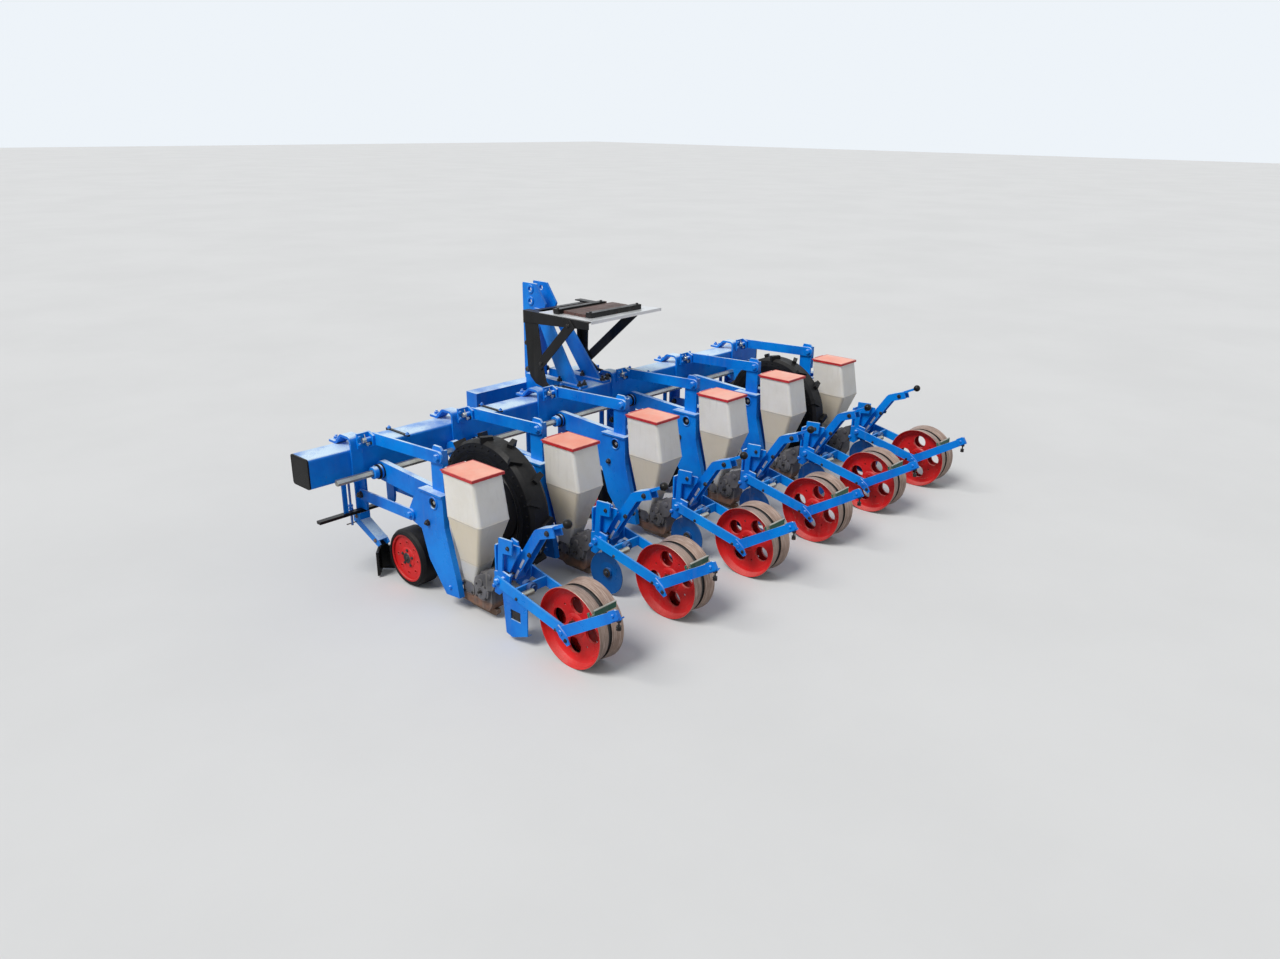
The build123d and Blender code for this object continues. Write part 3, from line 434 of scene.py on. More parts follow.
def hopper_plastic():
    """Cream plastic, darker below the knee and greyer at the neck with seed dirt and painted shade, and dark moulded
    seams with painted shade.
    """
    material, tree, shader = new_material("cream_plastic")
    shader.inputs["Subsurface Weight"].default_value = 0.35
    shader.inputs["Subsurface Radius"].default_value = (1.0, 0.85, 0.6)
    shader.inputs["Subsurface Scale"].default_value = 0.03
    base = place_group(tree, tone, Light=(0.94, 0.885, 0.79, 1), Dark=(0.85, 0.785, 0.68, 1), Scale=5.0)
    stain_and_shade = place_group(tree, below, Height=KNEE, Soft=0.012, Wave=0.01)
    neck = place_group(tree, below, Height=NECK - 0.004, Soft=0.010, Wave=0.012)
    soil_and_shade = place_group(tree, below, Height=0.125, Soft=0.045, Wave=0.10)
    marks = place_group(tree, runs, Amount=0.12, Scale=60.0)
    dust = place_group(tree, settled, Amount=0.10, Scale=16.0, Slant=-0.4, Sides=0.05)
    surface = place_group(tree, grain, Scale=90.0, Low=0.28, High=0.42)
    # below the knee: staining from seed, and painted shade on the faces that turn down
    stain_and_shade_share = maths(tree, "MULTIPLY", stain_and_shade["Mask"], 0.6)
    colour = mix_colour(tree, stain_and_shade_share, base["Color"], (0.84, 0.67, 0.43, 1))
    # the neck greyer and the bottom darker: staining and painted shade under the hopper
    colour = mix_colour(tree, maths(tree, "MULTIPLY", neck["Mask"], 0.85), colour, (0.66, 0.64, 0.60, 1))
    colour = mix_colour(tree, maths(tree, "MULTIPLY", soil_and_shade["Mask"], 0.40), colour, (0.33, 0.30, 0.26, 1))
    colour = mix_colour(tree, marks["Mask"], colour, (0.42, 0.36, 0.26, 1))
    colour = mix_colour(tree, dust["Mask"], colour, (0.45, 0.41, 0.33, 1))
    level = parts_of(tree, "Object")["Z"]
    # dark lines at the knee and the neck: moulded seams and painted shade at the folds
    seam_and_fold_shade = None
    for height in (KNEE, NECK):
        away = maths(tree, "ABSOLUTE", maths(tree, "SUBTRACT", level, height))
        line = spread(tree, away, 0.0008, 0.0026, 1.0, 0.0)
        seam_and_fold_shade = line if seam_and_fold_shade is None else maths(tree, "MAXIMUM", seam_and_fold_shade, line)
    colour = mix_colour(tree, maths(tree, "MULTIPLY", seam_and_fold_shade, 0.35), colour, (0.40, 0.36, 0.28, 1))
    height = maths(tree, "ADD", maths(tree, "MULTIPLY", surface["Height"], 0.4), seam_and_fold_shade)
    feed(tree, shader, colour, surface["Roughness"], height, 0.0009, 0.5)
    return material


finishes["cream_plastic"] = hopper_plastic()

# %% [markdown]
# The lids have stood in the sun. Their tops have faded to salmon, while a band along the edge and the
# turned-down rim have kept their red. The lids repeat every 500 mm, so the distance from a lid's
# middle line is found by wrapping X at the row pitch, and one material serves all six.


# %% Lid plastic
def lid_plastic():
    """Red plastic with a faded top and a red band along its edges."""
    material, tree, shader = new_material("red_plastic")
    low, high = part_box("hopper_lid_1")
    spots = parts_of(tree, "Object")
    middle = maths(tree, "SUBTRACT", spots["X"], (low.x + high.x) / 2)
    across = add(tree, "ShaderNodeMath", {1: ROW_PITCH * MM / 2, 2: -ROW_PITCH * MM / 2}, operation="WRAP")
    tree.links.new(middle, across.inputs[0])
    sideways = maths(tree, "SUBTRACT", maths(tree, "ABSOLUTE", across.outputs[0]), (high.x - low.x) / 2)
    length = maths(tree, "ABSOLUTE", maths(tree, "SUBTRACT", spots["Y"], at(0, -228.5, 0).y))
    length = maths(tree, "SUBTRACT", length, 0.093)
    inside = maths(tree, "MULTIPLY", maths(tree, "MAXIMUM", sideways, length), -1.0)
    wave = maths(tree, "MULTIPLY", maths(tree, "SUBTRACT", noise(tree, 40.0), 0.5), 0.010)
    inside = maths(tree, "ADD", inside, wave)
    faded = spread(tree, inside, 0.002, 0.0075)
    faded = maths(tree, "MULTIPLY", faded, spread(tree, parts_of(tree, "Normal")["Z"], 0.5, 0.9))
    top = place_group(tree, tone, Light=(0.95, 0.46, 0.34, 1), Dark=(0.90, 0.27, 0.17, 1), Scale=5.0)
    rim = place_group(tree, tone, Light=(0.62, 0.028, 0.030, 1), Dark=(0.42, 0.018, 0.020, 1), Scale=14.0)
    worn = place_group(tree, edge_wear, Width=0.002, Amount=0.5, Scale=80.0)
    dust = place_group(tree, settled, Amount=0.16, Scale=24.0, Slant=0.2, Sides=0.1)
    surface = place_group(tree, grain, Scale=130.0, Low=0.32, High=0.5)
    colour = mix_colour(tree, faded, rim["Color"], top["Color"])
    colour = mix_colour(tree, maths(tree, "MULTIPLY", worn["Mask"], 0.5), colour, (0.85, 0.35, 0.28, 1))
    colour = mix_colour(tree, dust["Mask"], colour, (0.50, 0.40, 0.33, 1))
    feed(tree, shader, colour, surface["Roughness"], surface["Height"], 0.0004, 0.5)
    return material


finishes["red_plastic"] = lid_plastic()


# %% Cast meter housings, rusty at the foot
def cast_housing():
    """Dull grey casting with rust and soil low down, where it meets the furrow."""
    material, tree, shader = new_material("cast_housing")
    base = place_group(tree, tone, Light=(0.130, 0.130, 0.150, 1), Dark=(0.050, 0.050, 0.058, 1), Scale=9.0)
    foot = place_group(tree, below, Height=0.078, Soft=0.012, Wave=0.05)
    worn = place_group(tree, edge_wear, Width=0.003, Amount=0.5, Scale=60.0)
    marks = place_group(tree, runs, Amount=0.4, Scale=40.0)
    dust = place_group(tree, settled, Amount=0.4, Scale=14.0, Slant=-0.3, Sides=0.3)
    surface = place_group(tree, grain, Scale=320.0, Low=0.5, High=0.75)
    rust = place_group(tree, tone, Light=(0.24, 0.105, 0.052, 1), Dark=(0.10, 0.048, 0.030, 1), Scale=30.0)
    rusty = maths(tree, "MULTIPLY", foot["Mask"], 0.85)
    colour = mix_colour(tree, rusty, base["Color"], rust["Color"])
    colour = mix_colour(tree, maths(tree, "MULTIPLY", worn["Mask"], 0.7), colour, (0.26, 0.25, 0.24, 1))
    colour = mix_colour(tree, marks["Mask"], colour, DUST)
    colour = mix_colour(tree, dust["Mask"], colour, DUST)
    feed(tree, shader, colour, surface["Roughness"], surface["Height"], 0.0012, 0.6)
    return material


finishes["cast_housing"] = cast_housing()


# %% The board on the platform
def board_wood():
    """Stained board with long grain along X."""
    material, tree, shader = new_material("board_wood")
    lines = noise(tree, 60.0, 6.0, 0.6, (0.05, 1.0, 1.0))
    fibres = noise(tree, 260.0, 3.0, 0.5, (0.03, 1.0, 1.0))
    base = place_group(tree, tone, Light=(0.105, 0.040, 0.032, 1), Dark=(0.060, 0.022, 0.020, 1), Scale=6.0)
    colour = mix_colour(tree, spread(tree, lines, 0.42, 0.62), base["Color"], (0.030, 0.012, 0.011, 1))
    pale_fibres = maths(tree, "MULTIPLY", spread(tree, fibres, 0.5, 0.7), 0.4)
    colour = mix_colour(tree, pale_fibres, colour, (0.17, 0.10, 0.08, 1))
    dust = place_group(tree, settled, Amount=0.25, Scale=20.0, Slant=0.2, Sides=0.1)
    colour = mix_colour(tree, dust["Mask"], colour, DUST)
    height = maths(tree, "ADD", lines, maths(tree, "MULTIPLY", fibres, 0.4))
    feed(tree, shader, colour, spread(tree, lines, 0.3, 0.7, 0.5, 0.75), height, 0.0012, 0.7)
    return material


finishes["board_wood"] = board_wood()


# %% Bare running treads of the press wheels
def tread_steel():
    """Steel polished by soil in rings, with a tan film of earth over it."""
    material, tree, shader = new_material("tread_steel")
    shader.inputs["Metallic"].default_value = 0.35
    rings = noise(tree, 40.0, 4.0, 0.5, (9.0, 0.5, 0.5))
    base = place_group(tree, tone, Light=(0.40, 0.27, 0.21, 1), Dark=(0.20, 0.13, 0.105, 1), Scale=7.0)
    colour = mix_colour(tree, spread(tree, rings, 0.45, 0.65), base["Color"], (0.50, 0.38, 0.32, 1))
    worn = place_group(tree, edge_wear, Width=0.003, Amount=0.8, Scale=60.0)
    colour = mix_colour(tree, worn["Mask"], colour, (0.45, 0.41, 0.37, 1))
    feed(tree, shader, colour, spread(tree, rings, 0.3, 0.7, 0.32, 0.55), rings, 0.0005, 0.5)
    return material


finishes["tread_steel"] = tread_steel()
print("finishes", sorted(finishes))

# %% Give every CAD node its finish
slot_of_node = {part["node"]: part["material_slot"] for part in frame["record"]["subparts"]}
# nodes whose paint differs from the rest of their slot: dark drive discs, clean forks, and covering discs darker with
# soil and painted shade
own_finish = {"drive_disc_left": "black_paint", "drive_disc_right": "black_paint", "press_forks": "fork_blue"}
for row in range(2, 7):
    own_finish[f"covering_disc_{row}"] = "soiled_and_shaded_blue"
for name, obj in nodes.items():
    finish = finishes[own_finish.get(name, slot_of_node[name])]
    if not obj.material_slots:
        obj.data.materials.append(finish)
    for slot in obj.material_slots:
        slot.material = finish
print("dressed", len(nodes), "nodes")

# %% [markdown]
# ## Making shapes in code
# Small hardware could be placed as linked copies, but hundreds of objects are slow to look through.
# Here every kind of piece is drawn into one bmesh for all six rows, so that a whole set of bolts is a
# single object. Two helpers do most of the work: one turns a profile about a line, as a lathe does,
# and one cuts a flat plate from an outline.

# %% Turned forms and plates
def axes_for(direction):
    """Two unit vectors square to a direction, and the direction itself."""
    along = Vector(direction).normalized()
    side = Vector((0, 0, 1)) if abs(along.z) < 0.9 else Vector((1, 0, 0))
    side = (side - along * side.dot(along)).normalized()
    return side, along.cross(side), along


def turn(shape, profile, place, direction=(1, 0, 0), steps=24, closed=False):
    """Adds a turned form: a profile of (along, radius) in mm, spun about a line from a place."""
    side, up, along = axes_for(direction)
    rings = []
    for distance, radius in profile:
        ring = []
        for i in range(steps):
            angle = math.tau * (i + 0.5) / steps
            arm = side * math.cos(angle) + up * math.sin(angle)
            ring.append(shape.verts.new(place + (along * distance + arm * radius) * MM))
        rings.append(ring)
    pairs = list(zip(rings, rings[1:]))
    if closed:
        pairs.append((rings[-1], rings[0]))
    else:
        shape.faces.new(rings[0][::-1])
        shape.faces.new(rings[-1])
    for first, second in pairs:
        for i in range(steps):
            j = (i + 1) % steps
            shape.faces.new((first[i], first[j], second[j], second[i]))


def plate(shape, outline, start, end, axis="X"):
    """Adds a flat plate: an outline in mm across an axis, between two places along that axis."""
    order = {
        "X": lambda a, b, c: at(c, a, b),
        "Y": lambda a, b, c: at(a, c, b),
        "Z": lambda a, b, c: at(a, b, c),
    }[axis]
    low = [shape.verts.new(order(a, b, start)) for a, b in outline]
    high = [shape.verts.new(order(a, b, end)) for a, b in outline]
    shape.faces.new(low[::-1])
    shape.faces.new(high)
    for i in range(len(outline)):
        j = (i + 1) % len(outline)
        shape.faces.new((low[i], low[j], high[j], high[i]))


def rectangle(a0, b0, a1, b1):
    """The outline of a rectangle between two opposite corners."""
    return (a0, b0), (a1, b0), (a1, b1), (a0, b1)


def strip_outline(start, end, width):
    """The four corners of a straight strip between two points."""
    run = Vector(end) - Vector(start)
    side = Vector((-run.y, run.x)).normalized() * width / 2
    corners = (Vector(start) + side, Vector(end) + side, Vector(end) - side, Vector(start) - side)
    return [tuple(corner) for corner in corners]


def on_circle(radius, degrees):
    """A place (y, z) in mm on a circle across X, from its middle."""
    angle = math.radians(degrees)
    return radius * math.cos(angle), radius * math.sin(angle)


def make_piece(name, shape, finish, body="machine", bevel=0.0, angle=35):
    """Turns a bmesh into an object with its finish, on the body that carries it."""
    bmesh.ops.recalc_face_normals(shape, faces=shape.faces)
    mesh = bpy.data.meshes.new(name)
    shape.to_mesh(mesh)
    shape.free()
    mesh.shade_smooth()
    mesh.set_sharp_from_angle(angle=math.radians(angle))
    mesh.materials.append(finishes[finish])
    piece = bpy.data.objects.new(name, mesh)
    bpy.context.collection.objects.link(piece)
    if bevel:
        soften = piece.modifiers.new("soft_edges", "BEVEL")
        soften.width = bevel * MM
        soften.segments = 2
        soften.limit_method = "ANGLE"
        soften.angle_limit = math.radians(angle)
    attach(piece, body)
    return piece


# %% Bolts, nuts and washers
def washer(shape, place, direction, size, lift=0.0):
    """A plain washer for a thread of this size; returns how far it stands up."""
    thick = 0.18 * size
    edge = 0.04 * size
    wide = 1.08 * size
    profile = [(lift, wide - edge), (lift + edge, wide), (lift + thick - edge, wide), (lift + thick, wide - edge)]
    turn(shape, profile, place, direction, 20)
    return lift + thick


def hexagon(shape, place, direction, size, height, lift=0.0):
    """A hexagon with rounded corners at its outer face; returns how far it stands up."""
    corner = 0.94 * size
    profile = [(lift, corner), (lift + 0.82 * height, corner), (lift + height, 0.86 * corner)]
    turn(shape, profile, place, direction, 6)
    top = lift + height
    turn(shape, [(top - 0.2, 0.78 * corner), (top + 0.03 * size, 0.74 * corner)], place, direction, 18)
    return top


def bolt_head(shape, place, direction, size, lift=0.0):
    """A washer with a bolt's head on it."""
    base = washer(shape, place, direction, size, lift)
    return hexagon(shape, place, direction, size, 0.62 * size, base)


def nut(shape, place, direction, size, lift=0.0, thread=0.45):
    """A washer, a nut and the threaded end that stands out of it."""
    base = washer(shape, place, direction, size, lift)
    top = hexagon(shape, place, direction, size, 0.8 * size, base)
    half = size / 2
    end = top + thread * size
    profile = [(top - 1, half * 0.9)]
    grooves = max(1, int(thread * size / 1.5))
    for i in range(grooves):
        level = top + i * 1.5
        profile += [(level, half), (level + 0.75, half * 0.86)]
    profile += [(end, half * 0.8)]
    turn(shape, profile, place, direction, 14)
    return end


def threaded_rod(shape, place, direction, size, length):
    """A rod with ridges close enough to read as a thread."""
    half = size / 2
    profile = [(0, half * 0.8)]
    for i in range(int(length / 2.0)):
        profile += [(0.5 + i * 2.0, half), (1.5 + i * 2.0, half * 0.87)]
    profile += [(length, half * 0.75)]
    turn(shape, profile, place, direction, 12)


LEFT, RIGHT = Vector((-1, 0, 0)), Vector((1, 0, 0))
FRONT, REAR = Vector((0, 1, 0)), Vector((0, -1, 0))
UP, DOWN = Vector((0, 0, 1)), Vector((0, 0, -1))
print("helpers ready")

# %% [markdown]
# ## Fasteners of the row linkage
# Each unit rides on flat arms that swing on pins, so that it can follow the ground. The pins end in
# nuts outside the arms, and plated ones shine among the paint. All of them are set by the same
# distances from the row's middle line, in millimetres, as the drawing gives them.

# %% Nuts and bolts at the pivots
# columns: x from the row's middle, y, z, side (-1 left, 1 right), thread, "nut" or "head"
PIVOTS = (
    (-80.3, 418.0, 324.0, -1, 14, "nut"),
    (80.3, 418.0, 324.0, 1, 14, "nut"),
    (80.3, 74.0, 332.0, 1, 14, "nut"),
    (-55.3, 331.0, 564.0, -1, 10, "nut"),
    (-72.0, -32.0, 327.0, -1, 12, "nut"),
    (72.0, -32.0, 327.0, 1, 12, "nut"),
    (-85.0, -554.0, 188.0, -1, 6, "head"),
    (-85.0, -756.0, 142.0, -1, 6, "head"),
    (74.0, -795.0, 150.0, 1, 14, "nut"),
)
# the same kinds, but painted over with the machine
PAINTED_PIVOTS = (
    (-80.3, 74.0, 332.0, -1, 13, "head"),
    (-55.0, -93.0, 600.0, -1, 15, "head"),
    (-34.7, -93.0, 600.0, 1, 15, "head"),
    (-72.0, -150.0, 90.0, -1, 8, "head"),
    (72.0, -150.0, 90.0, 1, 8, "head"),
    (-56.0, -400.0, 180.0, -1, 9, "head"),
    (56.0, -400.0, 180.0, 1, 9, "head"),
    (-85.0, -452.0, 222.0, -1, 13, "head"),
    (74.0, -452.0, 222.0, 1, 13, "head"),
    (-93.3, -795.0, 150.0, -1, 11, "head"),
)
FASTENERS = {"nut": nut, "head": bolt_head}


def fasten(shape, centre, rows):
    """Sets one table of fasteners at a row."""
    for x, y, z, side, size, kind in rows:
        FASTENERS[kind](shape, at(centre + x, y, z), RIGHT * side, size)


shape = bmesh.new()
for centre in ROWS:
    fasten(shape, centre, PIVOTS)
make_piece("pivot_fasteners", shape, "dark_steel")
shape = bmesh.new()
for centre in ROWS:
    fasten(shape, centre, PAINTED_PIVOTS)
make_piece("painted_fasteners", shape, "blue_paint")

# %% Plated pins of the upper arm
shape = bmesh.new()
for centre in ROWS:
    sleeve = [(0, 9.0), (1.2, 10.6), (15, 10.6), (15, 8.0)]
    turn(shape, sleeve, at(centre - 101.5, 337.5, 580), RIGHT, 24)
    turn(shape, [(0, 14), (1, 15.5), (3, 15.5), (4, 14)], at(centre - 61.5, 337.5, 580), RIGHT, 28)
    turn(shape, [(0, 5.2), (1, 6), (14, 6)], at(centre - 88, 331, 564), RIGHT, 16)
    turn(shape, [(-26, 1.6), (26, 1.6)], at(centre - 84, 337.5, 580), Vector((0, 0.5, 1)), 8)
make_piece("upper_pins", shape, "plated_steel")

# %% [markdown]
# ## Bar clamps
# Every unit hangs on the bar by a hook, and bolts through the hook's foot pull it tight. The black
# strap on the unit's right has a nut at each end. Under the bar, a threaded rod sets the height of
# the clod clearer, with a nut above and below the cross bar.

# %% Clamp bolts on the bar
shape = bmesh.new()
for row, centre in enumerate(ROWS):
    for dx, y in ((-130, 468), (-106, 468), (-118, 503)):
        nut(shape, at(centre + dx, y, 556.8), UP, 11, thread=0.6)
    for z in (562, 592):
        bolt_head(shape, at(centre - 109, 347, z), REAR, 8)
    if row < 5:
        for y in (350, 482):
            nut(shape, at(centre + 119.5, y, 552.8), UP, 8, thread=0.5)
        bolt_head(shape, at(centre + 119.5, 498.8, 500), FRONT, 8)
    for z in (256.0, 270.0):
        nut(shape, at(centre - 113, 453.5, z), UP, 10, thread=0.2)
    nut(shape, at(centre - 113, 453.5, 244), DOWN, 10, thread=0.6)
    for dx in (-147.5, 67):
        bolt_head(shape, at(centre + dx, 432, 256.3 if dx > 0 else 411), DOWN, 8)
make_piece("bar_clamp_bolts", shape, "blue_paint")

# %% Threaded rods of the clod clearers
shape = bmesh.new()
for centre in ROWS:
    threaded_rod(shape, at(centre - 113, 453.5, 186.5), UP, 10.8, 56)
    threaded_rod(shape, at(centre - 113, 453.5, 288), UP, 10.8, 120)
    turn(shape, [(-26, 2.6), (26, 2.6)], at(centre - 113, 453.5, 196), RIGHT, 10)
    for x, outward in ((-95, LEFT), (-47, RIGHT)):
        for y, z in ((444, 224), (316, 152)):
            bolt_head(shape, at(centre + x, y, z), outward, 8)
make_piece("clearer_rods", shape, "worn_steel")

# %% [markdown]
# ## The drive line
# A hexagonal shaft runs through every unit and carries the drive from the two big wheels to the seed
# meters. At each unit a blue collar and a black bearing drum sit on it, just outside the chain case.
# A lathe profile gives both, with the drum's lips and the collar's set screw.

# %% Collars and drums on the shaft
SHAFT_Y, SHAFT_Z = 323.5, 440.0
METER_Y, METER_Z = -72.0, 418.0
shape = bmesh.new()
for centre in ROWS:
    drum = [(0, 24), (0, 30.6), (2, 31.6), (5, 31.6), (6.5, 29.8), (14, 29.8), (15.5, 31.6), (20, 31.6), (20, 24)]
    turn(shape, drum, at(centre - 54.6, SHAFT_Y, SHAFT_Z), RIGHT, 36, closed=True)
    ring = [(0, 16), (0, 22), (1.5, 23.5), (9, 23.5), (9, 16)]
    turn(shape, ring, at(centre - 9.4, SHAFT_Y, SHAFT_Z), RIGHT, 32, closed=True)
    ring = [(0, 12), (0, 19), (1, 20), (6, 20), (6, 12)]
    turn(shape, ring, at(centre - 71.5, METER_Y, METER_Z), RIGHT, 32, closed=True)
make_piece("bearing_drums", shape, "black_plastic")

shape = bmesh.new()
for centre in ROWS:
    collar = [(0, 14.5), (0, 24), (1.5, 25.5), (20, 25.5), (21.5, 24), (21.5, 14.5)]
    turn(shape, collar, at(centre - 78, SHAFT_Y, SHAFT_Z), RIGHT, 32, closed=True)
    turn(shape, [(0, 4.5), (3, 4.5), (3.5, 3.5)], at(centre - 67, SHAFT_Y, SHAFT_Z) + UP * 25 * MM, UP, 6)
    rim = [(0, 20.9), (0, 25.5), (1.5, 26.5), (3.4, 26.0), (4.2, 24.4), (4.2, 22), (3, 20.9)]
    turn(shape, rim, at(centre - 72, METER_Y, METER_Z), LEFT, 36, closed=True)
    turn(shape, rim, at(centre + 72, METER_Y, METER_Z), RIGHT, 36, closed=True)
make_piece("blue_collars", shape, "blue_paint")

shape = bmesh.new()
for centre in ROWS:
    turn(shape, [(0, 7.5), (1.5, 9), (26, 9)], at(centre - 68.5, METER_Y, METER_Z), RIGHT, 6)
for x, direction in ((-1490.5, LEFT), (1310.5, RIGHT)):
    turn(shape, [(-6, 13.86), (-1, 13.7), (0.4, 11.5)], at(x, SHAFT_Y, SHAFT_Z), direction, 6)
make_piece("meter_shaft_ends", shape, "plated_steel")

# %% [markdown]
# ## Press wheels
# Twin steel wheels close and firm the furrow. Each is a thin barrel with a slightly conical running
# face, and its web sits deep inside, with four large flanged holes. The CAD wheel is plainer, so a
# detailed one stands for it. The barrel and the dish are lathe profiles. The holed web would be
# awkward to cut in a lathe form, so it comes from a flat curve, which fills itself round its holes.

# %% A flat web with holes, from a curve
def holed_web(shape, outer, holes, centre, x_from, thickness):
    """Adds a flat disc across X; holes are (along Y, along Z, radius) in mm from the centre."""
    curve = bpy.data.curves.new("web_outline", "CURVE")
    curve.dimensions = "2D"
    curve.fill_mode = "BOTH"
    curve.extrude = thickness / 2 * MM
    for y, z, radius in [(0, 0, outer)] + list(holes):
        steps = 56 if radius > 60 else 28
        spline = curve.splines.new("POLY")
        spline.points.add(steps - 1)
        for i, point in enumerate(spline.points):
            angle = math.tau * i / steps
            point.co = ((y + radius * math.cos(angle)) * MM, (z + radius * math.sin(angle)) * MM, 0, 1)
        spline.use_cyclic_u = True
    holder = bpy.data.objects.new("web_outline", curve)
    bpy.context.collection.objects.link(holder)
    bpy.context.view_layer.update()
    flat = bpy.data.meshes.new_from_object(holder.evaluated_get(bpy.context.evaluated_depsgraph_get()))
    middle = centre + RIGHT * (x_from + thickness / 2) * MM
    stand = Matrix(((0, 0, 1, middle.x), (1, 0, 0, middle.y), (0, 1, 0, middle.z), (0, 0, 0, 1)))
    flat.transform(stand)
    shape.from_mesh(flat)
    bpy.data.objects.remove(holder)
    bpy.data.curves.remove(curve)
    bpy.data.meshes.remove(flat)


# %% One twin press wheel
PRESS_Y, PRESS_Z = -795.0, 150.0
WEB_DEPTH, WEB_THICKNESS, WEB_RADIUS = 24.0, 3.0, 121
HOLE_RADIUS, HOLE_CIRCLE = 32.0, 80
DRAIN_RADIUS, DRAIN_CIRCLE = 4, 84
# profiles as (mm from the wheel's middle, radius), for the left wheel of the pair
BARREL = (
    (-58.0, 146.2), (-59.0, 147.6), (-59.0, 149.0), (-57.8, 150.0), (-55.0, 149.7), (-40.0, 147.6), (-22.0, 144.4),
    (-8.5, 141.6), (-6.6, 140.4), (-6.4, 138.6), (-8.0, 137.6), (-24.0, 140.6), (-42.0, 143.8), (-55.0, 145.8),
)
DISH = (
    (-47.0, 144.0), (-38.5, 141.8), (-30.0, 137.0), (-26.4, 129.0), (-25.5, 119.0),
    (-22.5, 119.0), (-23.2, 129.5), (-26.5, 138.2), (-34.0, 143.2), (-44.0, 144.6),
)
BOSS = (
    (-25.6, 46.0), (-30.5, 40.0), (-32.0, 34.0), (-32.0, 21.0), (-29.0, 21.0), (-29.0, 33.5), (-27.8, 38.5),
    (-22.6, 45.0),
)
HUB = (
    (-57.5, 10.25), (-57.5, 15.5), (-56.0, 17.0), (-44.0, 17.0), (-42.5, 21.5), (-34.0, 21.5), (-33.0, 19.0),
    (33.0, 19.0), (34.0, 21.5), (42.5, 21.5), (44.0, 17.0), (56.0, 17.0), (57.5, 15.5), (57.5, 10.25),
)
HOLE_LIP = ((0, 31.8), (0, 34.5), (1.2, 35.6), (1.8, 34.0), (8, 33.3), (9, 32.6), (9, 31.2))
# faces beyond these radii, in mm, are the gap's black band of painted shade and the bare running face
GAP_SHADE_BAND, RUNNING_FACE = 137.0, 141.0


def mirrored(profile):
    """The same profile for the other side of a wheel."""
    return [(-distance, radius) for distance, radius in profile]


def press_wheel(row, centre, start_angle):
    """A pair of wheels on one hub, with the holes turned by an angle in degrees."""
    middle = at(centre, PRESS_Y, PRESS_Z)
    shape = bmesh.new()
    for side in (-1, 1):
        holes = [(0, 0, 24)]
        for i in range(4):
            y, z = on_circle(HOLE_CIRCLE, start_angle + 90 * i)
            holes.append((y, z, HOLE_RADIUS))
            holes.append((*on_circle(DRAIN_CIRCLE, start_angle + 45 + 90 * i), DRAIN_RADIUS))
            start = middle + Vector((side * (WEB_DEPTH + 2), y, z)) * MM
            turn(shape, HOLE_LIP, start, RIGHT * -side, 30, closed=True)
        holed_web(shape, WEB_RADIUS, holes, middle, side * WEB_DEPTH - WEB_THICKNESS / 2, WEB_THICKNESS)
        for profile, steps in ((BARREL, 72), (DISH, 72), (BOSS, 40)):
            turn(shape, profile if side < 0 else mirrored(profile), middle, RIGHT, steps, closed=True)
        for i in range(6):
            spot = middle + Vector((side * 32, *on_circle(28, 60 * i + start_angle))) * MM
            turn(shape, [(-1, 4.2), (1.6, 4.2), (2.6, 2.6)], spot, RIGHT * side, 10)
    piece = make_piece(f"press_wheel_pair_{row}", shape, "red_paint", body=f"press_roll_{row}", angle=32)
    piece.data.materials.append(finishes["tread_steel"])
    piece.data.materials.append(finishes["black_paint"])
    # faces in the gap between the two barrels take black paint: painted shade
    for face in piece.data.polygons:
        outward = Vector((0, face.center.y - middle.y, face.center.z - middle.z))
        if outward.length > GAP_SHADE_BAND * MM and abs(face.center.x - middle.x) < 20.0 * MM:
            face.material_index = 2
        if outward.length > RUNNING_FACE * MM and outward.normalized().dot(face.normal) > 0.5:
            face.material_index = 1
    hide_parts(f"press_wheel_{row}")
    shape = bmesh.new()
    turn(shape, HUB, middle, RIGHT, 28, closed=True)
    # a dark ring inside the gap between the barrels stands for the gap's shade
    band = [(-8.2, 131), (-8.2, 137.4), (8.2, 137.4), (8.2, 131)]
    turn(shape, band, middle, RIGHT, 72, closed=True)
    make_piece(f"press_wheel_hub_and_gap_shade_{row}", shape, "dark_steel", body=f"press_roll_{row}")


HOLE_ANGLES = (5, -15, 30, 12, 20, -2)
for row, (centre, start_angle) in enumerate(zip(ROWS, HOLE_ANGLES), 1):
    press_wheel(row, centre, start_angle)
print("press wheels", len(ROWS))

# %% [markdown]
# ## Gauge wheels
# The front wheels set the depth. The disc is the CAD solid, since its form is right, and the scene
# adds what is bolted to it: a ring of small bolts, a hub cap and the pressed ring that holds the tyre.

